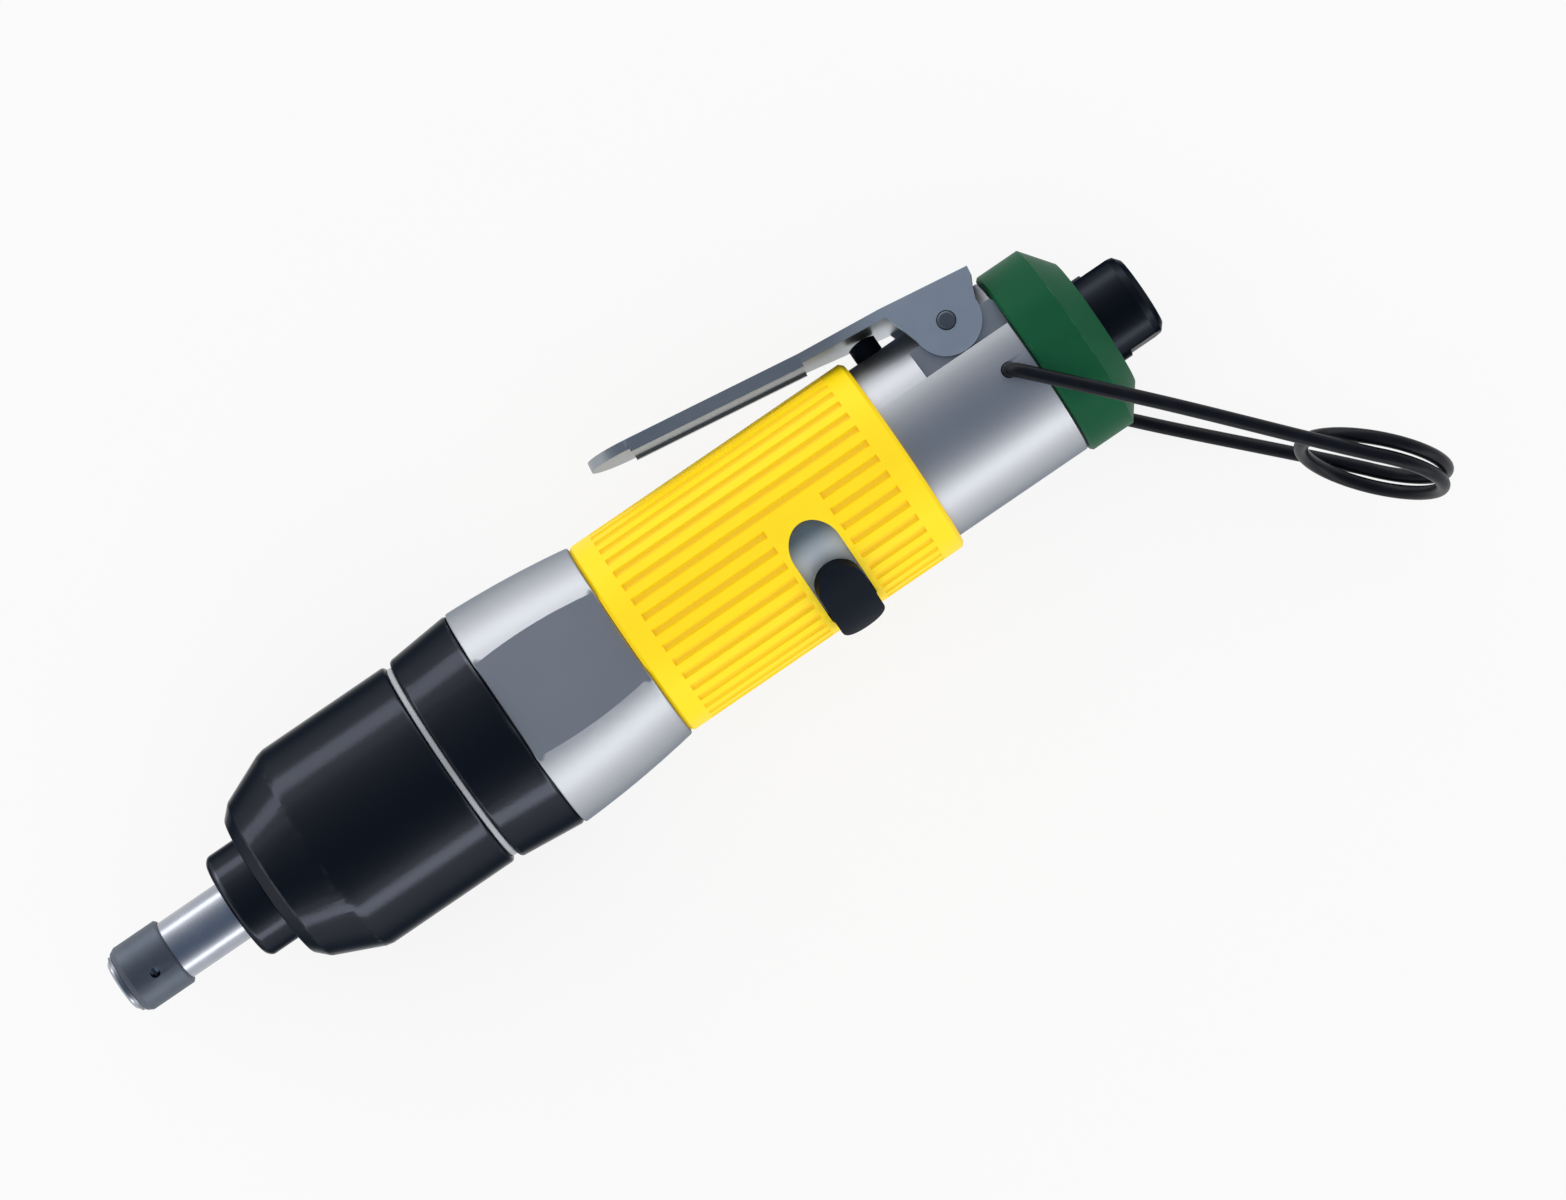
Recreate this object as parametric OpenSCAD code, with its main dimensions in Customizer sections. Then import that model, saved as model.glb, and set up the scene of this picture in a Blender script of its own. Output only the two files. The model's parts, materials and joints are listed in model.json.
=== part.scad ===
// Straight lever-start pneumatic screwdriver with cushion clutch and suspension bail.
// X runs along the tool from the bit mouth, +Y points to the lever and +Z up, as it lies on its side.

/* [Bit chuck] */
// Width across the flats of the hexagon bit socket
hex_af = 6.4; // [6.35:0.05:6.6]
// Depth of the bit socket
hex_depth = 14; // [10:0.5:18]
// Wall between the socket's corners and the outside of the spindle nose
nose_wall = 0.7; // [0.6:0.05:1.2]
// Step from the spindle nose up to the shank, which holds the sleeve spring
shank_step = 0.6; // [0.5:0.05:1]
// Length of the sliding bit sleeve
sleeve_len = 8.6; // [7.5:0.1:12]
// Wall of the bit sleeve over its spring
sleeve_wall = 0.65; // [0.5:0.05:1.5]
// Width of the sleeve's land over the locking ball
land_len = 2; // [1.6:0.1:2.6]
// Radius of the locking ball
bit_ball_r = 1; // [0.8:0.05:1.1]
// Thickness of the snap ring in front of the sleeve
snap_ring_t = 0.5; // [0.4:0.05:0.8]
// Radius of the small cross hole in the sleeve
sleeve_hole_r = 0.8; // [0.5:0.1:1]
// Bare shank between the sleeve and the nose collar
shank_show = 11.4; // [6:0.1:20]

/* [Nose] */
// Radius of the nose collar
collar_r = 9.1; // [8.8:0.1:11]
// Length of the nose collar
collar_len = 6.2; // [5:0.1:9]
// Front wall of the nose collar
collar_lip = 1.1; // [0.8:0.1:2]
// Wall of the nose collar round the housing's boss
collar_wall = 1.1; // [0.8:0.1:1.4]
// Wall of the bronze spindle bush
bush_wall = 1.95; // [1.2:0.05:2]
// Length of the spindle seal
seal_len = 1.4; // [1:0.1:2]

/* [Clutch] */
// Outer radius of the clutch housing
case_r = 18; // [17:0.1:20]
// Length of the clutch housing behind the nose collar
case_len = 33.6; // [31:0.1:44]
// Length of the tapered nose of the clutch housing
case_nose_len = 9.8; // [8:0.1:11]
// Radius of the clutch housing's flat front face
case_face_r = 12.3; // [11:0.1:13.5]
// Wall of the clutch housing
case_wall = 2.5; // [1.8:0.1:3]
// Step from the clutch housing's outside to the joint spigot
joint_step = 2; // [1.5:0.1:2.4]
// Wall of the joint spigot
spigot_wall = 2.8; // [2:0.1:3.4]
// Thickness of the bright washer in the joint
washer_t = 1; // [0.8:0.1:2]
// Length of the lock ring
ring_len = 11.2; // [10.5:0.1:15]
// Step from the shank up to the clutch end of the spindle
spindle_step = 1; // [0.8:0.1:1.2]
// Radius of the clutch balls
clutch_ball_r = 2.5; // [2:0.1:2.7]
// Number of clutch balls
clutch_ball_count = 6; // [3:1:6]
// Thickness of the clutch disc
clutch_disc_t = 7.2; // [6:0.1:8]
// Thickness of the clutch driver
clutch_driver_t = 6; // [5:0.1:6.4]
// Thickness of the adjusting nut
nut_t = 3.5; // [2.5:0.1:4]
// Wire radius of the clutch spring
clutch_wire_r = 0.75; // [0.6:0.05:0.9]
// Distance of the clutch spring's middle line inside the clutch disc's rim
clutch_spring_inset = 3; // [2.8:0.1:3.4]
// Turns of the clutch spring
clutch_turns = 2.5; // [2:0.5:3]

/* [Gear] */
// Step from the clutch housing's outside up to the silver barrel
barrel_step = 1.3; // [1:0.1:2]
// Length of the silver barrel
gear_len = 21.3; // [19:0.1:30]
// Bulge of the barrel above a straight taper
barrel_crown = 0.35; // [0.1:0.05:0.8]
// Depth of the barrel's flats at the lock ring
flat_front_depth = 1.95; // [1:0.05:2.4]
// Depth of the barrel's flats at the grip
flat_rear_depth = 1.8; // [1:0.05:2]
// Gear module
gear_module = 0.5; // [0.45:0.01:0.52]
// Teeth of the sun pinion
sun_teeth = 12; // [12, 15]
// Radius of the planet pins
planet_pin_r = 1.5; // [1.2:0.05:1.7]
// Radius of the carrier shaft
carrier_shaft_r = 6; // [5.5:0.1:6.4]
// Wall of the carrier's shaft round the spindle's pilot
pilot_wall = 3.1; // [2.8:0.1:3.4]
// Outer radius of the carrier bearing
carrier_bearing_r = 10.5; // [10:0.1:11.5]
// Width of the carrier bearing
carrier_bearing_w = 5; // [4:0.1:5.5]
// Thickness of the carrier's disc
carrier_disc_t = 3.6; // [3:0.1:4]

/* [Air motor] */
// Wall of the motor housing round the liner
motor_wall = 1.7; // [1.4:0.1:2]
// Thinnest wall of the cylinder liner
liner_wall = 0.95; // [0.8:0.05:1.4]
// Offset of the liner's bore from the rotor's axis
liner_offset = 1; // [0.6:0.05:1.2]
// Thickness of the motor's end plates
plate_t = 7; // [6.2:0.1:8]
// Radius of the rotor's shaft
rotor_shaft_r = 3; // [2.6:0.1:3.2]
// Outer radius of the motor bearings
motor_bearing_r = 6.5; // [6.2:0.1:7]
// Width of the motor bearings
motor_bearing_w = 5; // [4:0.1:5.5]
// Thickness of a vane
vane_t = 1.6; // [1.2:0.1:2]
// Number of vanes
vane_count = 5; // [4:1:6]

/* [Grip and reverse] */
// Length of the grip
grip_len = 51; // [45:0.5:80]
// Wall of the grip over the rear body
grip_wall = 1.65; // [1.3:0.05:3]
// Smooth band at each end of the grip
grip_band = 4; // [2:0.1:8]
// Number of ribs round the grip
rib_count = 38; // [30:1:42]
// Radius of the grooves between the ribs
rib_groove_r = 0.7; // [0.4:0.05:0.8]
// Distance of the reversing knob from the rear end of the grip
knob_setback = 19.5; // [14:0.1:24]
// Width of the cross slot in the grip
slot_w = 8.2; // [7:0.1:9]
// Smooth border round the slot
slot_border = 1; // [0.6:0.1:2]
// Width of the reversing ring
reverse_ring_w = 9.4; // [9.2:0.1:12]
// Thickness of the reversing ring
reverse_ring_t = 1.2; // [1:0.1:1.6]
// Height of the reversing knob above the grip
knob_height = 2.4; // [1.6:0.1:3.5]
// Margin of the knob's cap inside each side of the slot
knob_margin = 0.25; // [0.15:0.05:0.6]
// Angle that the knob's cap covers
knob_angle = 50; // [40:1:60]
// Travel of the reversing knob in degrees
reverse_travel = 25; // [16:1:30]

/* [Throttle] */
// Distance of the lever pin ahead of the rear cap
pin_setback = 7.7; // [7:0.1:10]
// Depth of the lever pin below the crown of the rear body
pin_inset = 3.3; // [2.9:0.1:3.9]
// Radius of the lever pin
pin_r = 1.5; // [1.2:0.05:1.8]
// Slope of the lever at rest, in degrees
lever_slope = 8; // [7.5:0.1:10]
// Distance of the lever's top from its pin
lever_rise = 6.1; // [5.8:0.05:7]
// Reach of the lever ahead of its pin
lever_reach = 59; // [45:0.5:75]
// Thickness of the lever's sheet
lever_t = 1.6; // [1.2:0.1:2]
// Width of the lever's strap
strap_w = 14; // [10:0.5:18]
// Depth of the strap's folded side lips
strap_lip = 2.1; // [2:0.1:3.2]
// Thickness of the lever's ears
ear_t = 1.4; // [1:0.1:1.8]
// Radius of the lever's ears round the pin
ear_r = 5.5; // [4.5:0.1:5.7]
// Half width of the rear body between the ears
ear_flat = 10.4; // [9.8:0.1:11]
// Distance of the throttle plunger behind the grip
plunger_gap = 4.2; // [3.8:0.1:6]
// Radius of the plunger's head
plunger_head_r = 2.3; // [2:0.1:2.8]
// Radius of the plunger's stem
plunger_r = 1.5; // [1.2:0.05:1.7]
// Wall of the plunger's bush
plunger_bush_wall = 1.87; // [1.4:0.05:2.2]
// Radius of the air passage in front of the valve
passage_r = 3.6; // [3.2:0.1:4]
// Radius of the tilt valve's disc
valve_r = 4.8; // [4.4:0.1:5.2]
// Radius of the tilt valve's stem
valve_stem_r = 1; // [0.8:0.05:1.2]
// Distance of the valve seat behind the plunger
seat_gap = 6.3; // [5:0.1:7]

/* [Rear end] */
// Radius of the rear body
tail_r = 15.3; // [14.9:0.1:16]
// Length of the rear body behind the grip
tail_len = 24.2; // [23:0.1:32]
// Radius of the rear cap
cap_r = 16; // [15.8:0.1:16.2]
// Length of the rear cap
cap_len = 11.5; // [10:0.1:16]
// Length of the cap's tapered end
cap_taper = 3.8; // [3:0.1:5]
// Radius of the cap's flat rear face
cap_face_r = 11; // [10.6:0.1:12.5]
// Wall of the rear cap
cap_wall = 2; // [1.5:0.1:2.4]
// Number of exhaust holes in the cap's rear face
exhaust_count = 8; // [6:1:10]
// Radius of the air inlet's head
inlet_r = 7.4; // [7.2:0.1:8]
// Length of the air inlet's head
inlet_len = 8.6; // [7:0.1:14]
// Radius of the inlet's shank through the cap
inlet_shank_r = 6.5; // [6.2:0.1:6.8]
// Radius of the inlet's thread at its crests
inlet_thread_r = 4.28; // [4.1:0.02:4.4]
// Depth of the inlet's thread
inlet_thread_len = 12; // [8:0.5:12]

/* [Suspension bail] */
// Radius of the bail's wire
wire_r = 1.2; // [1:0.05:1.3]
// Distance of the bail's pivot ahead of the rear cap
bail_setback = 4.3; // [3.5:0.1:6]
// Depth of the bail's pivot holes
bail_hole_depth = 3.3; // [2.8:0.1:4]
// Distance from the pivot to the middle of the eye
bail_len = 57; // [50:1:80]
// Middle radius of the eye
eye_r = 11.3; // [9:0.1:13]
// Twist of the eye out of the legs' plane, in degrees
eye_twist = 10; // [0:1:20]
// Angle of the bail at rest, below the tool's axis, in degrees
bail_angle = 47.2; // [0:0.1:80]

/* [Hidden] */
$fn = 72;
fit = 0.03;
run = 0.05;
slide = 0.3;

// Stations along the tool
snap_x = 0.6;
sleeve_x = snap_x + snap_ring_t + 0.1;
sleeve_end = sleeve_x + sleeve_len;
collar_x = sleeve_end + shank_show;
case_x = collar_x + collar_len;
case_end = case_x + case_len;
ring_x = case_end + washer_t;
gear_x = ring_x + ring_len;
grip_x = gear_x + gear_len;
tail_x = grip_x + grip_len;
cap_x = tail_x + tail_len;
inlet_x = cap_x + cap_len;
tool_end = inlet_x + inlet_len;

// Chuck
hex_r = hex_af / sqrt(3);
nose_r = hex_r + nose_wall;
shank_r = nose_r + shank_step;
snap_groove = 0.4;
sleeve_lip = 0.5;
sleeve_guide = 1;
relief_len = 1.5;
relief_depth = 0.7;
land_r = nose_r + run;
land_x = sleeve_x + sleeve_lip + relief_len;
chamber_x = land_x + land_len;
chamber_r = shank_r + run;
sleeve_r = chamber_r + sleeve_wall;
shoulder_x = sleeve_end - sleeve_guide;
chuck_wire_r = (shank_step - 0.2) / 2;
bit_ball_x = land_x + land_len / 2;

// Nose
boss_r = collar_r - collar_wall;
boss_x = collar_x + collar_lip + 0.1;
bush_r = shank_r + run + bush_wall;
bush_x = boss_x + seal_len + run;
cavity_x = case_x + case_nose_len;
bush_end = cavity_x - 1.2;

// Clutch, set out back from the carrier bearing and forward from the nose
spigot_r = case_r - joint_step;
spigot_bore = spigot_r - spigot_wall;
cavity_r = case_r - case_wall;
spigot_x = case_end - 4.5;
carrier_bearing_x = gear_x - carrier_bearing_w - 2.2;
driver_end = carrier_bearing_x - 1;
driver_x = driver_end - clutch_driver_t;
ball_gap = 1.8;
clutch_ball_x = driver_x - ball_gap / 2;
disc_end = driver_x - ball_gap;
disc_x = disc_end - clutch_disc_t;
clutch_r = spigot_bore - 0.7;
clutch_spring_r = clutch_r - clutch_spring_inset;
ball_pitch_r = clutch_r - clutch_ball_r - 1;
spindle_shoulder = cavity_x + 0.3;
nut_x = spindle_shoulder + 1;
nut_end = nut_x + nut_t;
nut_r = clutch_spring_r + clutch_wire_r + 0.5;
back_r = shank_r + spindle_step;
spindle_end = driver_x - 1;
pilot_r = carrier_shaft_r - pilot_wall;
spline_r = 0.8;
spline_count = 6;

// Housings and motor
grip_bore_r = tail_r + run;
grip_r = grip_bore_r + grip_wall;
barrel_r = case_r + barrel_step;
barrel_end_r = grip_r + 0.2;
flat_front = barrel_r - flat_front_depth;
flat_rear = barrel_end_r - flat_rear_depth;
motor_r = tail_r - reverse_ring_t;
gear_bore_r = motor_r + fit;
motor_x = grip_x - 5.5;
motor_bore_r = motor_r - motor_wall;
block_x = tail_x - 3.5;
washer_gap = 1;
front_plate_x = motor_x + 2;
liner_x = front_plate_x + plate_t;
rear_plate_x = block_x - washer_gap - plate_t;
liner_r = motor_bore_r - fit;
liner_bore_r = liner_r - liner_wall - liner_offset;
rotor_r = liner_bore_r - liner_offset - 0.2;
rotor_gap = 0.3;
pinion_seat_r = 1.6;
slot_floor_r = rotor_shaft_r + 1.9;

// Planetary gear
planet_teeth = 15;
ring_teeth = sun_teeth + 2 * planet_teeth;
planet_count = 3;
pressure_angle = 20;
backlash = 0.05;
addendum = 0.7 * gear_module;
dedendum = gear_module;
gear_centre = gear_module * (sun_teeth + planet_teeth) / 2;
ring_tip_r = gear_module * ring_teeth / 2 - addendum;
carrier_r = gear_centre + planet_pin_r + 2.7;
carrier_x = gear_x - 0.8;
carrier_end = carrier_x + carrier_disc_t;
planet_x = carrier_end + slide;
planet_end = motor_x - 2;

// Grip and reverse, with angles counted from the lever side towards +Z
knob_x = tail_x - knob_setback;
ring_step_x = knob_x + reverse_ring_w / 2 + slide;
knob_rest = 146;
knob_w = slot_w - 2 * knob_margin;
knob_r = grip_r + knob_height;
knob_low = knob_rest - knob_angle / 2;
knob_high = knob_rest + knob_angle / 2;
slot_low = knob_low - reverse_travel - 1;
slot_high = knob_high + 1;
knob_base_r = tail_r - run + 0.02;
neck_trim = 5;

// Throttle
pin_x = cap_x - pin_setback;
pin_height = tail_r - pin_inset;
plunger_x = tail_x + plunger_gap;
seat_x = plunger_x + seat_gap;
valve_chamber_r = valve_r + 1.2;
inlet_front = cap_x - 5.7;
lever_under = lever_rise - lever_t;
plunger_top = pin_height + lever_under / cos(lever_slope) + (pin_x - plunger_x) * tan(lever_slope) - 0.08;
plunger_foot = valve_stem_r + 0.15;
plunger_bush_r = plunger_r + fit + plunger_bush_wall;
plunger_bush_low = passage_r + 0.9;
plunger_head_low = tail_r - 2;
plunger_bush_high = plunger_head_low - 1.5;
ear_z = ear_flat + 0.2;
ear_out = ear_z + ear_t;
flat_low = pin_height - ear_r - slide;
valve_t = 2;
valve_boss_r = valve_r - 1.4;
valve_boss_t = 0.8;
valve_x = seat_x + run;
valve_end = valve_x + valve_t;
valve_wire_r = 0.4;

// Rear end
exhaust_r = 1;
cap_cavity_r = cap_r - cap_wall;
cap_floor_x = inlet_x - 3;
o_ring_r = 0.4;
passage_pitch_r = 10.5;
thread_end = tool_end - inlet_thread_len;
screen_t = 0.8;
screen_r = inlet_thread_r - 0.3;
screen_end = thread_end - 0.6;
inlet_bore_r = inlet_thread_r - 1.1;

// Bail
bail_x = cap_x - bail_setback;
leg_z = cap_r + wire_r + 0.4;
bend_r = 2.5;
bail_hole_end = tail_r - bail_hole_depth;
leg_straight = 20;
eye_pitch = 2 * wire_r + 0.2;
eye_turns = 1.5;
wire_sides = 10;

// Turns a shape so that its own Z runs along the tool, its X to the lever and its Y up.
module along(x) {
    translate([x, 0, 0])
        rotate([90, 0, 90])
            children();
}

// A rod on the axis from one station to another.
module rod(x0, x1, r) {
    along(x0)
        cylinder(r = r, h = x1 - x0);
}

// A tube on the axis from one station to another.
module tube(x0, x1, r_out, r_in) {
    along(x0)
        rotate_extrude()
            translate([r_in, 0])
                square([r_out - r_in, x1 - x0]);
}

// A turned piece from points of radius and station.
module turned(points) {
    along(0)
        rotate_extrude()
            polygon(points);
}

// A ring of round section.
module torus(x, r, section_r) {
    along(x)
        rotate_extrude()
            translate([r, 0])
                circle(r = section_r, $fn = 24);
}

// A round bar pointing outwards at an angle from the lever side.
module spoke(x, angle, r0, r1, r) {
    translate([x, 0, 0])
        rotate([angle - 90, 0, 0])
            translate([0, 0, r0])
                cylinder(r = r, h = r1 - r0);
}

// A curved bar with round ends, between two angles and two radii.
module curved_bar(x, w, angle0, angle1, r0, r1) {
    end_angle = asin(w / 2 / r1);
    intersection() {
        tube(x - w / 2, x + w / 2, r1, r0);
        union() {
            along(x - w / 2)
                rotate([0, 0, angle0 + end_angle])
                    rotate_extrude(angle = angle1 - angle0 - 2 * end_angle)
                        translate([r0 - 1, 0])
                            square([r1 - r0 + 2, w]);
            spoke(x, angle0 + end_angle, r0 - 1, r1 + 1, w / 2 - 0.02);
            spoke(x, angle1 - end_angle, r0 - 1, r1 + 1, w / 2 - 0.02);
        }
    }
}

// Outline of a gear's teeth from the involute of its base circle.
function involute(angle) = tan(angle) * 180 / PI - angle;
function flank_angle(r, base_r) = involute(acos(min(1, base_r / max(r, base_r))));
function tooth_half(r, pitch_r, base_r, thickness) =
    thickness / pitch_r * 90 / PI + involute(pressure_angle) - flank_angle(r, base_r);
function polar(r, angle) = [r * cos(angle), r * sin(angle)];

module gear_outline(teeth, root_r, tip_r, extra) {
    pitch_r = gear_module * teeth / 2;
    base_r = pitch_r * cos(pressure_angle);
    thickness = PI * gear_module / 2 + extra;
    steps = 5;
    radii = [for (i = [0 : steps]) root_r + (tip_r - root_r) * i / steps];
    polygon([
        for (tooth = [0 : teeth - 1])
            let (middle = tooth * 360 / teeth)
                each concat(
                    [for (r = radii) polar(r, middle - tooth_half(r, pitch_r, base_r, thickness))],
                    [for (i = [steps : -1 : 0])
                        polar(radii[i], middle + tooth_half(radii[i], pitch_r, base_r, thickness))])
    ]);
}

// A wire of several sides along points, with its ring turned from a vector that no point's direction follows.
function unit(v) = v / norm(v);
function direction(path, i) = unit(path[min(i + 1, len(path) - 1)] - path[max(i - 1, 0)]);

module wire(path, r, sides, up) {
    rings = len(path);
    points = [
        for (i = [0 : rings - 1])
            let (
                ahead = direction(path, i),
                side = unit(cross(up, ahead)),
                top = cross(ahead, side)
            )
            for (k = [0 : sides - 1])
                path[i] + r * (side * cos(k * 360 / sides) + top * sin(k * 360 / sides))
    ];
    walls = [
        for (i = [0 : rings - 2])
            for (k = [0 : sides - 1])
                let (next = (k + 1) % sides)
                    [i * sides + k, (i + 1) * sides + k, (i + 1) * sides + next, i * sides + next]
    ];
    front = [for (k = [0 : sides - 1]) k];
    back = [for (k = [sides - 1 : -1 : 0]) (rings - 1) * sides + k];
    polyhedron(points, concat(walls, [front, back]), convexity = 6);
}

// A coil spring between two stations.
module coil_spring(x0, x1, r, section_r, turns) {
    steps = ceil(turns * 14);
    rise = x1 - x0 - 2 * section_r;
    path = [
        for (i = [0 : steps])
            let (share = i / steps)
                [r * cos(share * turns * 360), r * sin(share * turns * 360), section_r + rise * share]
    ];
    along(x0)
        wire(path, section_r, 8, [0, 0, 1]);
}

// Ball bearing pieces between two radii.
function race_t(r_in, r_out) = (r_out - r_in) * 0.27;
function race_ball_r(r_in, r_out) = (r_out - r_in) * 0.27;

module outer_race(x, w, r_in, r_out) {
    difference() {
        tube(x, x + w, r_out - fit, r_out - race_t(r_in, r_out));
        torus(x + w / 2, (r_in + r_out) / 2, race_ball_r(r_in, r_out) + run);
    }
}

module inner_race(x, w, r_in, r_out) {
    difference() {
        tube(x, x + w, r_in + race_t(r_in, r_out), r_in + fit);
        torus(x + w / 2, (r_in + r_out) / 2, race_ball_r(r_in, r_out) + run);
    }
}

module race_balls(x, w, r_in, r_out, count) {
    for (i = [0 : count - 1])
        along(x + w / 2)
            rotate([0, 0, i * 360 / count])
                translate([(r_in + r_out) / 2, 0, 0])
                    sphere(r = race_ball_r(r_in, r_out), $fn = 24);
}

// Chuck
module bit_sleeve() {
    front_chamfer = sleeve_wall * 0.75;
    rear_chamfer = sleeve_wall * 0.45;
    color("dimgray")
        difference() {
            turned([
                [land_r, sleeve_x],
                [sleeve_r - front_chamfer, sleeve_x],
                [sleeve_r, sleeve_x + 0.9],
                [sleeve_r, sleeve_end - rear_chamfer],
                [sleeve_r - rear_chamfer, sleeve_end],
                [chamber_r, sleeve_end],
                [chamber_r, chamber_x],
                [land_r, chamber_x],
                [land_r, land_x],
                [nose_r + relief_depth, land_x],
                [nose_r + relief_depth, sleeve_x + sleeve_lip],
                [land_r, sleeve_x + sleeve_lip]]);
            spoke(chamber_x + sleeve_hole_r, 107, nose_r, sleeve_r + 1, sleeve_hole_r);
        }
}

module chuck_spring() {
    color("gray")
        coil_spring(chamber_x + run, shoulder_x - run, nose_r + shank_step / 2 + run / 2, chuck_wire_r, 2.5);
}

module sleeve_snap_ring() {
    gap = 2;
    color("gray")
        difference() {
            tube(snap_x + 0.02, snap_x + snap_ring_t - 0.02, land_r + shank_step * 0.75, nose_r - snap_groove + fit);
            translate([snap_x - 1, 0, -gap / 2])
                cube([snap_ring_t + 2, sleeve_r, gap]);
        }
}

module bit_ball() {
    color("silver")
        translate([bit_ball_x, -(land_r - fit - bit_ball_r), 0])
            sphere(r = bit_ball_r, $fn = 32);
}

module output_spindle() {
    mouth = 0.4;
    color("silver")
        difference() {
            turned([
                [0, 0],
                [nose_r - 0.3, 0],
                [nose_r, 0.3],
                [nose_r, snap_x],
                [nose_r - snap_groove, snap_x],
                [nose_r - snap_groove, snap_x + snap_ring_t],
                [nose_r, snap_x + snap_ring_t],
                [nose_r, shoulder_x],
                [shank_r, shoulder_x],
                [shank_r, spindle_shoulder],
                [back_r, spindle_shoulder],
                [back_r, spindle_end],
                [pilot_r, spindle_end],
                [pilot_r, driver_end - 1],
                [0, driver_end - 1]]);
            along(-1)
                rotate([0, 0, 30])
                    cylinder(r = hex_r, h = hex_depth + 1, $fn = 6);
            along(-0.01)
                cylinder(r1 = hex_r + mouth * 0.5, r2 = hex_r - mouth, h = mouth * 1.5);
            spoke(bit_ball_x, 180, hex_af / 4, nose_r + 1, bit_ball_r + fit);
            for (i = [0 : spline_count - 1])
                along(nut_end + 1)
                    rotate([0, 0, i * 360 / spline_count])
                        translate([back_r, 0, 0])
                            cylinder(r = spline_r, h = spindle_end - nut_end);
        }
}

// Nose
module nose_collar() {
    edge = 0.8;
    color("black")
        turned([
            [shank_r + slide, collar_x],
            [collar_r - edge, collar_x],
            [collar_r, collar_x + edge],
            [collar_r, case_x],
            [boss_r + fit, case_x],
            [boss_r + fit, collar_x + collar_lip],
            [shank_r + slide, collar_x + collar_lip]]);
}

module spindle_seal() {
    color("black")
        tube(boss_x, boss_x + seal_len, bush_r - fit, shank_r + run);
}

module spindle_bush() {
    color("peru")
        tube(bush_x, bush_end, bush_r - fit, shank_r + run);
}

// Clutch
module clutch_housing() {
    face_chamfer = 2;
    edge = 0.4;
    color("black")
        turned([
            [bush_r, boss_x],
            [boss_r, boss_x],
            [boss_r, case_x],
            [case_face_r, case_x],
            [case_face_r + face_chamfer, case_x + face_chamfer],
            [case_r - 0.25, cavity_x],
            [case_r, cavity_x + 1.2],
            [case_r, case_end - edge],
            [case_r - edge, case_end],
            [spigot_r + fit, case_end],
            [spigot_r + fit, spigot_x - 0.1],
            [cavity_r, spigot_x - 0.1],
            [cavity_r, cavity_x],
            [shank_r + spindle_step * 0.6, cavity_x],
            [shank_r + spindle_step * 0.6, bush_end],
            [bush_r, bush_end]]);
}

module joint_washer() {
    color("silver")
        tube(case_end, ring_x, case_r - 0.7, spigot_r + fit);
}

module lock_ring() {
    edge = 0.4;
    color("black")
        turned([
            [spigot_r + fit, ring_x],
            [case_r + 0.2 - edge, ring_x],
            [case_r + 0.2, ring_x + edge],
            [barrel_r - 0.1, gear_x - edge],
            [barrel_r - 0.1 - edge, gear_x],
            [spigot_r + fit, gear_x]]);
}

module adjusting_nut() {
    color("gray")
        difference() {
            tube(nut_x, nut_end, nut_r, back_r + fit);
            for (i = [0 : 5])
                spoke((nut_x + nut_end) / 2, i * 60, nut_r - 1.5, nut_r + 1, nut_t / 4);
        }
}

module clutch_spring() {
    color("slategray")
        coil_spring(nut_end + run, disc_x - run, clutch_spring_r, clutch_wire_r, clutch_turns);
}

module at_clutch_balls() {
    for (i = [0 : clutch_ball_count - 1])
        along(clutch_ball_x)
            rotate([0, 0, i * 360 / clutch_ball_count])
                translate([ball_pitch_r, 0, 0])
                    children();
}

module clutch_disc() {
    color("gray")
        difference() {
            along(disc_x)
                linear_extrude(clutch_disc_t)
                    union() {
                        difference() {
                            circle(r = clutch_r);
                            circle(r = back_r + run);
                        }
                        for (i = [0 : spline_count - 1])
                            rotate(i * 360 / spline_count)
                                intersection() {
                                    translate([back_r, 0])
                                        circle(r = spline_r - run, $fn = 24);
                                    circle(r = back_r + 0.5);
                                }
                    }
            at_clutch_balls()
                sphere(r = clutch_ball_r + run, $fn = 36);
        }
}

module clutch_balls() {
    color("silver")
        at_clutch_balls()
            sphere(r = clutch_ball_r, $fn = 36);
}

module clutch_driver() {
    color("gray")
        difference() {
            tube(driver_x, driver_end, clutch_r, carrier_shaft_r + fit);
            at_clutch_balls()
                sphere(r = clutch_ball_r + run, $fn = 36);
        }
}

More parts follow.
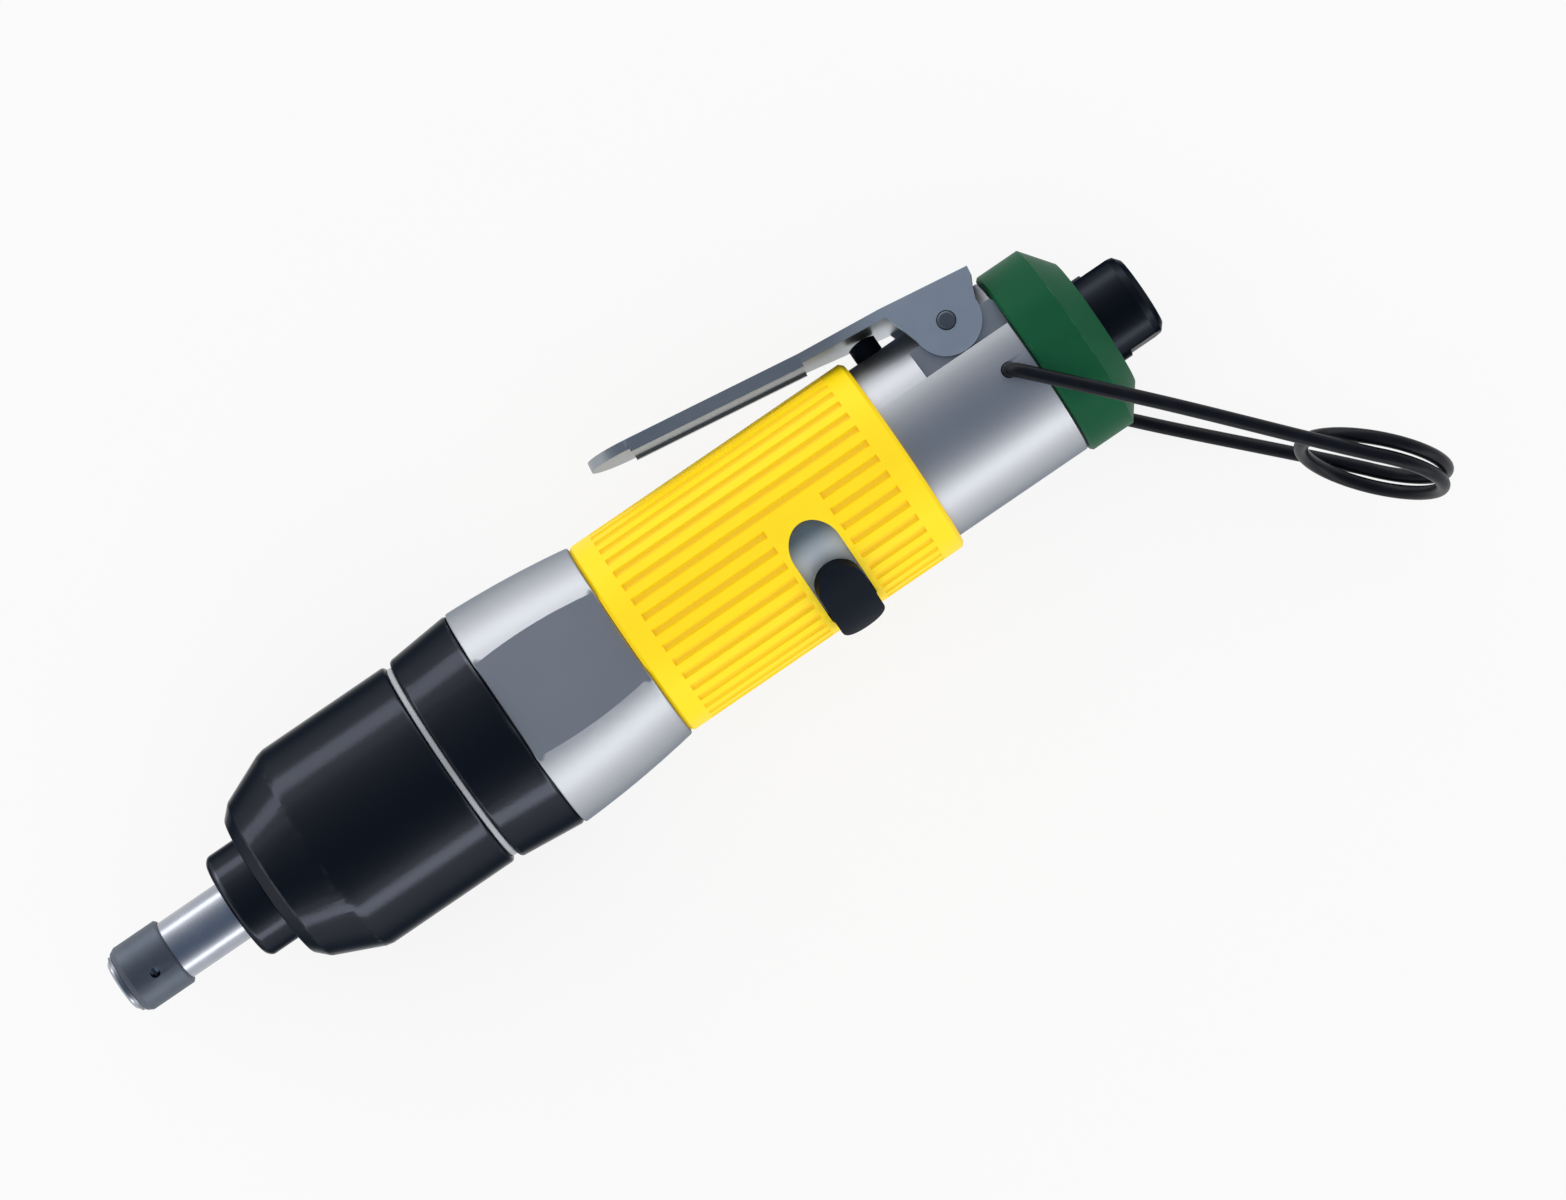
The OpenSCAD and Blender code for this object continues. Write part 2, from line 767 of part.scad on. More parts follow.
// Gear
module gear_housing() {
    drop = barrel_r - barrel_end_r;
    chord = norm([drop, gear_len]);
    arc_r = (chord * chord / 4 + barrel_crown * barrel_crown) / (2 * barrel_crown);
    normal = [gear_len, drop] / chord;
    centre = [(barrel_r + barrel_end_r) / 2, gear_x + gear_len / 2] - normal * (arc_r - barrel_crown);
    taper = atan((flat_front - flat_rear) / gear_len);
    color("lightgray")
        difference() {
            along(0)
                rotate_extrude()
                    union() {
                        intersection() {
                            translate([gear_bore_r, gear_x])
                                square([barrel_r, gear_len]);
                            translate(centre)
                                circle(r = arc_r, $fn = 720);
                        }
                        polygon([
                            [spigot_bore, spigot_x],
                            [spigot_r, spigot_x],
                            [spigot_r, gear_x + 1],
                            [gear_bore_r, gear_x + 1],
                            [gear_bore_r, carrier_x - 0.5],
                            [carrier_bearing_r - 1.5, carrier_x - 0.5],
                            [carrier_bearing_r - 1.5, carrier_bearing_x + carrier_bearing_w],
                            [carrier_bearing_r, carrier_bearing_x + carrier_bearing_w],
                            [carrier_bearing_r, carrier_bearing_x - 0.4],
                            [spigot_bore, carrier_bearing_x - 0.4]]);
                    }
            for (side = [0, 1])
                mirror([0, 0, side])
                    translate([gear_x, 0, flat_front])
                        rotate([0, taper, 0])
                            translate([-5, -barrel_r, 0])
                                cube([gear_len + 10, 2 * barrel_r, barrel_r]);
        }
}

module carrier_bearing_outer() {
    color("gray")
        outer_race(carrier_bearing_x, carrier_bearing_w, carrier_shaft_r, carrier_bearing_r);
}

module carrier_bearing_inner() {
    color("gray")
        inner_race(carrier_bearing_x, carrier_bearing_w, carrier_shaft_r, carrier_bearing_r);
}

module carrier_bearing_balls() {
    color("silver")
        race_balls(carrier_bearing_x, carrier_bearing_w, carrier_shaft_r, carrier_bearing_r, 12);
}

module at_planets() {
    for (i = [0 : planet_count - 1])
        rotate([i * 360 / planet_count, 0, 0])
            translate([0, gear_centre, 0])
                children();
}

module planet_carrier() {
    color("gray")
        difference() {
            turned([
                [pilot_r + run, driver_x + 0.2],
                [carrier_shaft_r, driver_x + 0.2],
                [carrier_shaft_r, carrier_x],
                [carrier_r, carrier_x],
                [carrier_r, carrier_end],
                [0, carrier_end],
                [0, driver_end],
                [pilot_r + run, driver_end]]);
            at_planets()
                rod(carrier_x + 1, carrier_end + 1, planet_pin_r);
        }
}

module planet_pins() {
    color("silver")
        at_planets()
            rod(carrier_x + 1, planet_end + 0.5, planet_pin_r - fit);
}

module planet_gear(number) {
    pitch_r = gear_module * planet_teeth / 2;
    color("darkgray")
        rotate([(number - 1) * 360 / planet_count, 0, 0])
            translate([0, gear_centre, 0])
                along(planet_x)
                    linear_extrude(planet_end - planet_x)
                        difference() {
                            gear_outline(planet_teeth, pitch_r - dedendum, pitch_r + addendum, -backlash);
                            circle(r = planet_pin_r + run, $fn = 36);
                        }
}

module ring_gear() {
    pitch_r = gear_module * ring_teeth / 2;
    color("gray")
        along(carrier_end + 0.2)
            linear_extrude(motor_x - carrier_end - 0.3)
                difference() {
                    circle(r = gear_bore_r - fit);
                    gear_outline(ring_teeth, ring_tip_r, pitch_r + dedendum, backlash);
                }
}

module sun_pinion() {
    pitch_r = gear_module * sun_teeth / 2;
    color("darkgray")
        along(planet_x + 0.5)
            linear_extrude(planet_end - planet_x + 0.5)
                difference() {
                    gear_outline(sun_teeth, pitch_r - dedendum, pitch_r + addendum, -backlash);
                    circle(r = pinion_seat_r + fit, $fn = 36);
                }
}

// Air motor
module motor_housing() {
    edge = 0.4;
    color("lightgray")
        difference() {
            turned([
                [motor_bore_r, motor_x],
                [motor_r, motor_x],
                [motor_r, ring_step_x],
                [tail_r, ring_step_x],
                [tail_r, cap_x - edge],
                [tail_r - edge, cap_x],
                [inlet_shank_r + fit, cap_x],
                [inlet_shank_r + fit, inlet_front - 0.1],
                [valve_chamber_r, inlet_front - 0.1],
                [valve_chamber_r, seat_x],
                [passage_r, seat_x],
                [passage_r, block_x],
                [motor_bore_r, block_x]]);
            spoke(plunger_x, 0, plunger_bush_low - run, tail_r + 5, plunger_bush_r + fit);
            spoke(plunger_x, 0, 0, plunger_bush_low, plunger_r + slide);
            for (side = [0, 1])
                mirror([0, 0, side]) {
                    translate([pin_x - ear_r - 2, flat_low, ear_flat])
                        cube([cap_x, tail_r, tail_r]);
                    translate([bail_x, 0, bail_hole_end])
                        cylinder(r = wire_r + run, h = tail_r);
                }
            translate([pin_x, pin_height, -tail_r])
                cylinder(r = pin_r, h = 2 * tail_r);
            for (angle = [120, 155, 205, 240])
                along(block_x - 1)
                    rotate([0, 0, angle])
                        translate([passage_pitch_r, 0, 0])
                            cylinder(r = 1.3, h = tail_len + 10, $fn = 36);
        }
}

module end_plate(x, pocket_x) {
    difference() {
        tube(x, x + plate_t, motor_bore_r - fit, rotor_shaft_r + slide);
        rod(pocket_x, pocket_x + motor_bearing_w + 0.1, motor_bearing_r);
    }
}

module front_end_plate() {
    color("darkgray")
        end_plate(front_plate_x, front_plate_x - 0.1);
}

module rear_end_plate() {
    color("darkgray")
        end_plate(rear_plate_x, rear_plate_x + plate_t - motor_bearing_w);
}

module front_bearing_outer() {
    color("gray")
        outer_race(front_plate_x, motor_bearing_w, rotor_shaft_r, motor_bearing_r);
}

module front_bearing_inner() {
    color("gray")
        inner_race(front_plate_x, motor_bearing_w, rotor_shaft_r, motor_bearing_r);
}

module front_bearing_balls() {
    color("silver")
        race_balls(front_plate_x, motor_bearing_w, rotor_shaft_r, motor_bearing_r, 9);
}

module rear_bearing_outer() {
    color("gray")
        outer_race(rear_plate_x + plate_t - motor_bearing_w, motor_bearing_w, rotor_shaft_r, motor_bearing_r);
}

module rear_bearing_inner() {
    color("gray")
        inner_race(rear_plate_x + plate_t - motor_bearing_w, motor_bearing_w, rotor_shaft_r, motor_bearing_r);
}

module rear_bearing_balls() {
    color("silver")
        race_balls(rear_plate_x + plate_t - motor_bearing_w, motor_bearing_w, rotor_shaft_r, motor_bearing_r, 9);
}

module cylinder_liner() {
    color("gray")
        difference() {
            rod(liner_x, rear_plate_x, liner_r);
            translate([0, -liner_offset, 0])
                rod(liner_x - 1, rear_plate_x + 1, liner_bore_r);
            for (share = [0.3, 0.5, 0.7])
                spoke(liner_x + share * (rear_plate_x - liner_x), 180, liner_bore_r - 2, liner_r + 1, 1.5);
        }
}

module at_vanes() {
    for (i = [0 : vane_count - 1])
        rotate([i * 360 / vane_count, 0, 0])
            children();
}

module rotor() {
    front = liner_x + rotor_gap;
    back = rear_plate_x - rotor_gap;
    color("dimgray")
        difference() {
            turned([
                [0, planet_x + 0.2],
                [pinion_seat_r, planet_x + 0.2],
                [pinion_seat_r, front_plate_x - 0.5],
                [rotor_shaft_r, front_plate_x - 0.5],
                [rotor_shaft_r, front],
                [rotor_r, front],
                [rotor_r, back],
                [rotor_shaft_r, back],
                [rotor_shaft_r, rear_plate_x + plate_t - 0.3],
                [0, rear_plate_x + plate_t - 0.3]]);
            at_vanes()
                translate([front - 1, slot_floor_r - 0.1, -vane_t / 2 - fit])
                    cube([back - front + 2, rotor_r, vane_t + 2 * fit]);
        }
}

module vanes() {
    front = liner_x + rotor_gap;
    back = rear_plate_x - rotor_gap;
    color("saddlebrown")
        at_vanes()
            intersection() {
                translate([front, slot_floor_r, -vane_t / 2])
                    cube([back - front, rotor_r, vane_t]);
                rod(front - 1, back + 1, rotor_r);
            }
}

module motor_spring_washer() {
    thick = 0.4;
    color("slategray")
        turned([
            [motor_bearing_r, block_x - washer_gap + run],
            [motor_bore_r - 0.6, block_x - thick - run],
            [motor_bore_r - 0.6, block_x - run],
            [motor_bearing_r, block_x - washer_gap + thick + run]]);
}

// Grip and reverse
module rib_groove(angle, x0, x1) {
    along(x0)
        rotate([0, 0, angle])
            translate([grip_r + rib_groove_r * 0.2, 0, 0])
                cylinder(r = rib_groove_r, h = x1 - x0, $fn = 24);
}

// Round-ended slot, cut straight in along the middle of its arc.
module knob_slot() {
    half_arc = (slot_high - slot_low) / 2;
    end_r = slot_w / 2;
    reach = grip_r * sin(half_arc) - end_r;
    steps = 24;
    translate([knob_x, 0, 0])
        rotate([(slot_low + slot_high) / 2 - 90, 0, 0])
            linear_extrude(height = grip_r + 1)
                polygon([
                    for (side = [1, -1])
                        for (k = [0 : steps])
                            [end_r * side * cos(180 * k / steps), side * (reach + end_r * sin(180 * k / steps))]]);
}

// The grooves stop short of the slot, which keeps a smooth border.
module grip_sleeve() {
    edge = 0.6;
    border_angle = (slot_border + rib_groove_r) / grip_r * 180 / PI;
    bore_step = knob_x - reverse_ring_w / 2 - 0.1;
    color("gold")
        difference() {
            difference() {
                turned([
                    [motor_r + run, grip_x],
                    [grip_r - edge, grip_x],
                    [grip_r, grip_x + edge],
                    [grip_r, tail_x - edge],
                    [grip_r - edge, tail_x],
                    [grip_bore_r, tail_x],
                    [grip_bore_r, bore_step],
                    [motor_r + run, bore_step]]);
                knob_slot();
            }
            for (i = [0 : rib_count - 1])
                let (angle = (i + 0.5) * 360 / rib_count)
                    if (angle > slot_low - border_angle && angle < slot_high + border_angle) {
                        rib_groove(angle, grip_x + grip_band, knob_x - slot_w / 2 - slot_border);
                        rib_groove(angle, knob_x + slot_w / 2 + slot_border, tail_x - grip_band);
                    } else {
                        rib_groove(angle, grip_x + grip_band, tail_x - grip_band);
                    }
        }
}

module reverse_ring() {
    color("silver")
        difference() {
            tube(knob_x - reverse_ring_w / 2, knob_x + reverse_ring_w / 2, tail_r - run, motor_r + run);
            spoke(knob_x, knob_rest, motor_r - 1, tail_r + 1, slot_w / 4 + fit);
        }
}

module reverse_knob() {
    cap_low = grip_r + slide;
    color("black")
        union() {
            curved_bar(knob_x, slot_w - 2 * slide, knob_low + neck_trim, knob_high - neck_trim, knob_base_r, cap_low + 0.5);
            curved_bar(knob_x, knob_w, knob_low, knob_high, cap_low, knob_r);
            spoke(knob_x, knob_rest, motor_r + 2 * run, cap_low, slot_w / 4);
        }
}

// Throttle
module throttle_lever() {
    tip_r = strap_w / 2;
    web_front = ear_r + 3;
    web_back = ear_r + 1;
    taper_len = 14;
    lip_t = 1.2;
    color("slategray")
        translate([pin_x, pin_height, 0])
            rotate([0, 0, -lever_slope])
                difference() {
                    union() {
                        translate([0, lever_rise, 0])
                            rotate([90, 0, 0])
                                linear_extrude(lever_t)
                                    union() {
                                        translate([-lever_reach + tip_r, 0])
                                            circle(r = tip_r - 0.01);
                                        polygon([
                                            [-lever_reach + tip_r, -tip_r],
                                            [-web_front - taper_len, -tip_r],
                                            [-web_front, -ear_out],
                                            [web_back, -ear_out],
                                            [web_back, ear_out],
                                            [-web_front, ear_out],
                                            [-web_front - taper_len, tip_r],
                                            [-lever_reach + tip_r, tip_r]]);
                                    }
                        for (side = [0, 1])
                            mirror([0, 0, side]) {
                                translate([0, 0, ear_z])
                                    linear_extrude(ear_t)
                                        union() {
                                            circle(r = ear_r);
                                            polygon([
                                                [-web_front, lever_rise - lever_t / 2],
                                                [-ear_r * 0.8, -ear_r * 0.55],
                                                [ear_r * 0.8, -ear_r * 0.55],
                                                [web_back, lever_rise - lever_t / 2]]);
                                        }
                                translate([-lever_reach + tip_r, lever_rise - strap_lip, tip_r - lip_t])
                                    cube([lever_reach - tip_r - web_front - taper_len, strap_lip - lever_t / 2, lip_t]);
                            }
                    }
                    translate([0, 0, -tail_r])
                        cylinder(r = pin_r + run, h = 2 * tail_r);
                }
}

module lever_pin() {
    edge = 0.3;
    half = ear_out + 0.3;
    color("dimgray")
        translate([pin_x, pin_height, 0])
            rotate_extrude()
                polygon([
                    [0, -half],
                    [pin_r - fit - edge, -half],
                    [pin_r - fit, -half + edge],
                    [pin_r - fit, half - edge],
                    [pin_r - fit - edge, half],
                    [0, half]]);
}

module throttle_plunger() {
    dome_r = plunger_head_r * 2.5;
    groove_y = (plunger_bush_low + plunger_bush_high) / 2;
    color("black")
        difference() {
            union() {
                spoke(plunger_x, 0, plunger_foot + plunger_r * 0.5, plunger_head_low + 1, plunger_r);
                translate([plunger_x, plunger_foot + plunger_r, 0])
                    sphere(r = plunger_r - 0.01, $fn = 36);
                intersection() {
                    spoke(plunger_x, 0, plunger_head_low, plunger_top + 1, plunger_head_r);
                    translate([plunger_x, plunger_top - dome_r, 0])
                        sphere(r = dome_r);
                }
            }
            translate([plunger_x, groove_y - o_ring_r - run, 0])
                rotate([-90, 0, 0])
                    rotate_extrude()
                        translate([plunger_r - 2 * o_ring_r + run, 0])
                            square([plunger_r, 2 * (o_ring_r + run)]);
        }
}

module plunger_bush() {
    color("goldenrod")
        difference() {
            spoke(plunger_x, 0, plunger_bush_low, plunger_bush_high, plunger_bush_r);
            spoke(plunger_x, 0, 0, tail_r, plunger_r + fit);
        }
}

module plunger_o_ring() {
    color("black")
        translate([plunger_x, (plunger_bush_low + plunger_bush_high) / 2, 0])
            rotate([-90, 0, 0])
                rotate_extrude()
                    translate([plunger_r - o_ring_r + run, 0])
                        circle(r = o_ring_r - run, $fn = 24);
}

module tilt_valve() {
    color("dimgray")
        turned([
            [0, plunger_x - 2.7],
            [valve_stem_r, plunger_x - 2.7],
            [valve_stem_r, valve_x],
            [valve_r, valve_x],
            [valve_r, valve_end],
            [valve_boss_r, valve_end],
            [valve_boss_r, valve_end + valve_boss_t],
            [0, valve_end + valve_boss_t]]);
}

module valve_spring() {
    color("slategray")
        coil_spring(valve_end + run, inlet_front - run, valve_boss_r + valve_wire_r + 0.4, valve_wire_r, 3);
}

// Rear end
module rear_cap() {
    edge = 0.4;
    color("darkgreen")
        difference() {
            turned([
                [cap_cavity_r, cap_x],
                [cap_r - edge, cap_x],
                [cap_r, cap_x + edge],
                [cap_r, inlet_x - cap_taper],
                [cap_face_r, inlet_x],
                [inlet_shank_r + run, inlet_x],
                [inlet_shank_r + run, cap_floor_x],
                [cap_face_r - 1, cap_floor_x],
                [cap_cavity_r, inlet_x - cap_taper - 2]]);
            for (i = [0 : exhaust_count - 1])
                along(cap_floor_x - 1)
                    rotate([0, 0, (i + 0.5) * 360 / exhaust_count])
                        translate([(inlet_r + cap_face_r) / 2, 0, 0])
                            cylinder(r = exhaust_r, h = cap_len, $fn = 24);
        }
}

module housing_o_ring() {
    color("black")
        torus(cap_x + o_ring_r + 0.02, cap_cavity_r - o_ring_r - 0.02, o_ring_r);
}

module silencer() {
    color("wheat")
        tube(cap_x + 2 * o_ring_r + 0.2, cap_floor_x - 0.2, cap_face_r - 1.1, inlet_shank_r + run);
}

module inlet_bush() {
    groove_x = inlet_x - 1.3;
    mouth = 0.5;
    color("black")
        difference() {
            turned([
                [inlet_bore_r, inlet_front],
                [inlet_shank_r, inlet_front],
                [inlet_shank_r, groove_x - o_ring_r - run],
                [inlet_shank_r - 2 * o_ring_r + run, groove_x - o_ring_r - run],
                [inlet_shank_r - 2 * o_ring_r + run, groove_x + o_ring_r + run],
                [inlet_shank_r, groove_x + o_ring_r + run],
                [inlet_shank_r, inlet_x],
                [inlet_r, inlet_x],
                [inlet_r, tool_end - 2],
                [inlet_r - 0.5, tool_end - 0.9],
                [inlet_r - 1.6, tool_end],
                [inlet_thread_r + mouth, tool_end],
                [inlet_thread_r, tool_end - mouth],
                [inlet_thread_r, thread_end],
                [screen_r, thread_end],
                [screen_r, screen_end - screen_t],
                [inlet_bore_r, screen_end - screen_t]]);
            for (side = [0, 1])
                mirror([0, side, 0])
                    translate([inlet_x + 2, inlet_r - 0.6, -inlet_r])
                        cube([inlet_len, inlet_r, 2 * inlet_r]);
        }
}

module inlet_o_ring() {
    color("black")
        torus(inlet_x - 1.3, inlet_shank_r - o_ring_r + run, o_ring_r - run);
}

module inlet_screen() {
    hole_r = 0.45;
    color("goldenrod")
        difference() {
            rod(screen_end - screen_t, screen_end, screen_r - fit);
            for (ring = [0 : 2])
                for (i = [0 : max(0, 6 * ring - 1)])
                    along(screen_end - screen_t - 1)
                        rotate([0, 0, ring == 0 ? 0 : i * 60 / ring])
                            translate([ring * 1.35, 0, 0])
                                cylinder(r = hole_r, h = screen_t + 2, $fn = 16);
        }
}

// Half of the bail's path: from the pivot out and along the leg, then round the eye to its far side.
function eye_point(turn) =
    let (
        side = eye_r * cos(turn),
        lift = eye_pitch * (turn - eye_turns * 180) / 360
    )
    [bail_len + eye_r * sin(turn),
        side * sin(eye_twist) + lift * cos(eye_twist),
        side * cos(eye_twist) - lift * sin(eye_twist)];
function ease(share) = share * share * (3 - 2 * share);

module suspension_bail() {
    pin_start = leg_z - bend_r - 0.7;
    leg_steps = 7;
    eye_steps = 18;
    leg_start = [leg_straight, 0, leg_z];
    eye_start = eye_point(0);
    half = concat(
        [[0, 0, pin_start]],
        [for (i = [0 : 4]) [bend_r - bend_r * cos(i * 22.5), 0, leg_z - bend_r + bend_r * sin(i * 22.5)]],
        [for (i = [0 : leg_steps - 1])
            let (share = i / leg_steps, bend = ease(share))
                [leg_start[0] + (eye_start[0] - leg_start[0]) * share,
                    leg_start[1] + (eye_start[1] - leg_start[1]) * bend,
                    leg_start[2] + (eye_start[2] - leg_start[2]) * bend]],
        [for (i = [0 : eye_steps - 1]) eye_point(i * eye_turns * 180 / eye_steps)]);
    path = concat(
        half,
        [eye_point(eye_turns * 180)],
        [for (i = [len(half) - 1 : -1 : 0]) [half[i][0], -half[i][1], -half[i][2]]]);
    color("black")
        translate([bail_x, 0, 0])
            rotate([0, 0, -bail_angle])
                union() {
                    wire(path, wire_r - 0.03, wire_sides, [0, 1, 0]);
                    for (side = [0, 1])
                        mirror([0, 0, side])
                            translate([0, 0, bail_hole_end + 0.2])
                                cylinder(r = wire_r, h = leg_z - bend_r - 0.2 - bail_hole_end - 0.2, $fn = 48);
                }
}

bit_sleeve();
chuck_spring();
sleeve_snap_ring();
bit_ball();
output_spindle();
nose_collar();
spindle_seal();
spindle_bush();
clutch_housing();
joint_washer();
lock_ring();
adjusting_nut();
clutch_spring();
clutch_disc();
clutch_balls();
clutch_driver();
gear_housing();
carrier_bearing_outer();
carrier_bearing_inner();
carrier_bearing_balls();
planet_carrier();
planet_pins();
planet_gear(1);  // planet_gear_1
planet_gear(2);  // planet_gear_2
planet_gear(3);  // planet_gear_3
ring_gear();
sun_pinion();
motor_housing();
front_end_plate();
front_bearing_outer();
front_bearing_inner();
front_bearing_balls();
cylinder_liner();
rotor();
vanes();
rear_end_plate();
rear_bearing_outer();
rear_bearing_inner();
rear_bearing_balls();
motor_spring_washer();
grip_sleeve();
reverse_ring();
reverse_knob();
throttle_lever();
lever_pin();
throttle_plunger();
plunger_bush();
plunger_o_ring();
tilt_valve();
valve_spring();
rear_cap();
housing_o_ring();
silencer();
inlet_bush();
inlet_o_ring();
inlet_screen();
suspension_bail();
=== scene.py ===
"""Looks of a straight lever-start pneumatic screwdriver that lies on its side, seen from above."""

import json
import math

import bmesh
import bpy
from mathutils import Matrix, Vector


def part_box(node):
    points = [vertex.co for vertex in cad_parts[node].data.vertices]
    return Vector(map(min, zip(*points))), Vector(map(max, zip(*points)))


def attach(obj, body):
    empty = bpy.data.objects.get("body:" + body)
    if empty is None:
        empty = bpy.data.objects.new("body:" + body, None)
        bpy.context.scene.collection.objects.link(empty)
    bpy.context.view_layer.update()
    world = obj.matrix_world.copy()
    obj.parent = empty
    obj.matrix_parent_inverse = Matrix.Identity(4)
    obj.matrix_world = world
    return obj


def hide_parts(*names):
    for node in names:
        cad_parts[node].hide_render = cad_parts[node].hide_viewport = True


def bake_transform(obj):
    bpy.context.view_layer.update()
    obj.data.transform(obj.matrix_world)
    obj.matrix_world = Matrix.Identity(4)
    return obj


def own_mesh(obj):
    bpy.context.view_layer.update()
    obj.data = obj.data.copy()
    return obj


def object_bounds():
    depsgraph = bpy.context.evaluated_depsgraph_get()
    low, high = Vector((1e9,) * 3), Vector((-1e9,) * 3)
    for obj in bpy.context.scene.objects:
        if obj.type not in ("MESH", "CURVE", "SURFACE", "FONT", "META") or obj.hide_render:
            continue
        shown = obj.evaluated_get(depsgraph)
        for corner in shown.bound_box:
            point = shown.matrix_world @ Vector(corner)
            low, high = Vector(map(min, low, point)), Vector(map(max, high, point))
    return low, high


MM = 0.001
MICRON = 0.000001

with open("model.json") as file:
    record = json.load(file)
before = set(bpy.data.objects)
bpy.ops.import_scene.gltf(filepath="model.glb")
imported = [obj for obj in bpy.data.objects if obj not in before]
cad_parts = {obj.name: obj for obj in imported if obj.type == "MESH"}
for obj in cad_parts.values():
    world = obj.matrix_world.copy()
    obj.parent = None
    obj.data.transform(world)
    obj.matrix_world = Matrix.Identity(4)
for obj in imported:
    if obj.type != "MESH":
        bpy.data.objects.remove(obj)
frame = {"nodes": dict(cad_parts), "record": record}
cad_low, cad_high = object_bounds()
nodes = frame["nodes"]
record = frame["record"]
body_of_node = {node: body for body, names in record["behaviour"]["bodies"].items() for node in names}
slot_of_node = {row["node"]: row["material_slot"] for row in record["subparts"]}


# Shader maths

# The Mix node's colour sockets have names that others share, so they go by number
MIX_FACTOR = 0
MIX_LOW = 6
MIX_HIGH = 7
MIX_RESULT = 2


class Field:
    """A value that changes over a surface: one socket of a finish's nodes, with arithmetic."""

    def __init__(self, tree, socket):
        self.tree = tree
        self.socket = socket

    def node(self, kind, settings=None, inputs=None, output=0):
        """Adds a node: its settings first, then the values or links of its sockets."""
        made = self.tree.nodes.new(kind)
        for key, value in (settings or {}).items():
            setattr(made, key, value)
        for key, value in (inputs or {}).items():
            feed(self.tree, made.inputs[key], value)
        return Field(self.tree, made.outputs[output])

    def math(self, operation, first, second):
        return self.node("ShaderNodeMath", {"operation": operation}, {0: first, 1: second})

    def __add__(self, other):
        return self.math("ADD", self, other)

    def __radd__(self, other):
        return self.math("ADD", other, self)

    def __sub__(self, other):
        return self.math("SUBTRACT", self, other)

    def __rsub__(self, other):
        return self.math("SUBTRACT", other, self)

    def __mul__(self, other):
        return self.math("MULTIPLY", self, other)

    def __rmul__(self, other):
        return self.math("MULTIPLY", other, self)

    def __truediv__(self, other):
        return self.math("DIVIDE", self, other)

    def __rtruediv__(self, other):
        return self.math("DIVIDE", other, self)

    def power(self, exponent):
        return self.math("POWER", self, exponent)

    def larger(self, other):
        return self.math("MAXIMUM", self, other)

    def step(self, low, high):
        """0 below low, 1 above high, and smooth between."""
        return self.node(
            "ShaderNodeMapRange",
            {"interpolation_type": "SMOOTHSTEP"},
            {"Value": self, "From Min": low, "From Max": high},
        )

    def mixed(self, low, high):
        """A colour between two, by this value."""
        return self.node(
            "ShaderNodeMix",
            {"data_type": "RGBA"},
            {MIX_FACTOR: self, MIX_LOW: low, MIX_HIGH: high},
            MIX_RESULT,
        )


def feed(tree, socket, value):
    """Links a field to a socket, or sets a plain value on it."""
    if isinstance(value, Field):
        tree.links.new(value.socket, socket)
    else:
        socket.default_value = value


def rgb(red, green, blue):
    """A screen colour, 0 to 255, as the light that it stands for."""

    def light(part):
        share = part / 255
        return share / 12.92 if share <= 0.04045 else ((share + 0.055) / 1.055) ** 2.4

    return (light(red), light(green), light(blue), 1.0)


class Finish:
    """A new material with its shader, and the coordinates that its patterns read."""

    def __init__(self, name):
        self.material = bpy.data.materials.new(name)
        self.material.use_nodes = True
        self.tree = self.material.node_tree
        self.shader = self.tree.nodes["Principled BSDF"]
        self.place = Field(self.tree, None).node("ShaderNodeTexCoord", output="Object")
        self.x, self.y, self.z = (
            self.place.node("ShaderNodeSeparateXYZ", {}, {0: self.place}, axis) for axis in "XYZ"
        )
        self.radius = (self.y * self.y + self.z * self.z).power(0.5)

    def vector(self, x, y, z):
        return self.place.node("ShaderNodeCombineXYZ", {}, {0: x, 1: y, 2: z})

    def noise(self, scale, detail=3.0, vector=None, roughness=0.55):
        """Clouds or grain, with that many features to a metre."""
        return self.place.node(
            "ShaderNodeTexNoise",
            {"noise_dimensions": "3D"},
            {"Vector": vector or self.place, "Scale": scale, "Detail": detail, "Roughness": roughness},
        )

    def lathe_lines(self, per_metre):
        """Fine rings round the tool's axis, as a lathe leaves them."""
        return self.noise(1.0, 4.0, self.vector(self.x * per_metre, self.radius * per_metre, 0.0), 0.7)

    def edge_wear(self, scale, detail, low, high):
        """Patches along a piece's broken edges."""
        edge = self.place.node("ShaderNodeAttribute", {"attribute_name": "edge"}, output="Fac")
        return (edge * self.noise(scale, detail)).step(low, high)

    def set(self, **sockets):
        """Sets or links sockets of the shader, which go by their names in small letters."""
        for key, value in sockets.items():
            name = key.replace("_", " ").title().replace("Ior", "IOR")
            feed(self.tree, self.shader.inputs[name], value)
        return self

    def bump(self, height, distance, strength):
        """Raises the surface by a height from 0 to 1, over that distance in metres."""
        made = self.place.node(
            "ShaderNodeBump", {}, {"Strength": strength, "Distance": distance, "Height": height}
        )
        return self.set(normal=made)


# Finishes

# Along the tool, the black goes over from the clutch's to the inlet's
INLET_FRONT = (178 * MM, 182 * MM)
# Inside this radius the inlet is bare in its thread
INLET_THREAD = (4.9 * MM, 5.1 * MM)
# Across the tool, the reversing ring goes over from a painted reflection, light beside the knob, to painted
# shade further along
RING_SHADE_SPAN = (-7.2 * MM, -2.8 * MM)
# Along the tool, the lever goes over from its strap, darkened with painted shade, to its lighter ears
LEVER_EARS = (144 * MM, 156 * MM)
# Below the grip's crests, the painted shade in its grooves is full at the first depth and gone at the second
GROOVE_SHADE_DEPTHS = (0.5 * MM, 0.12 * MM)


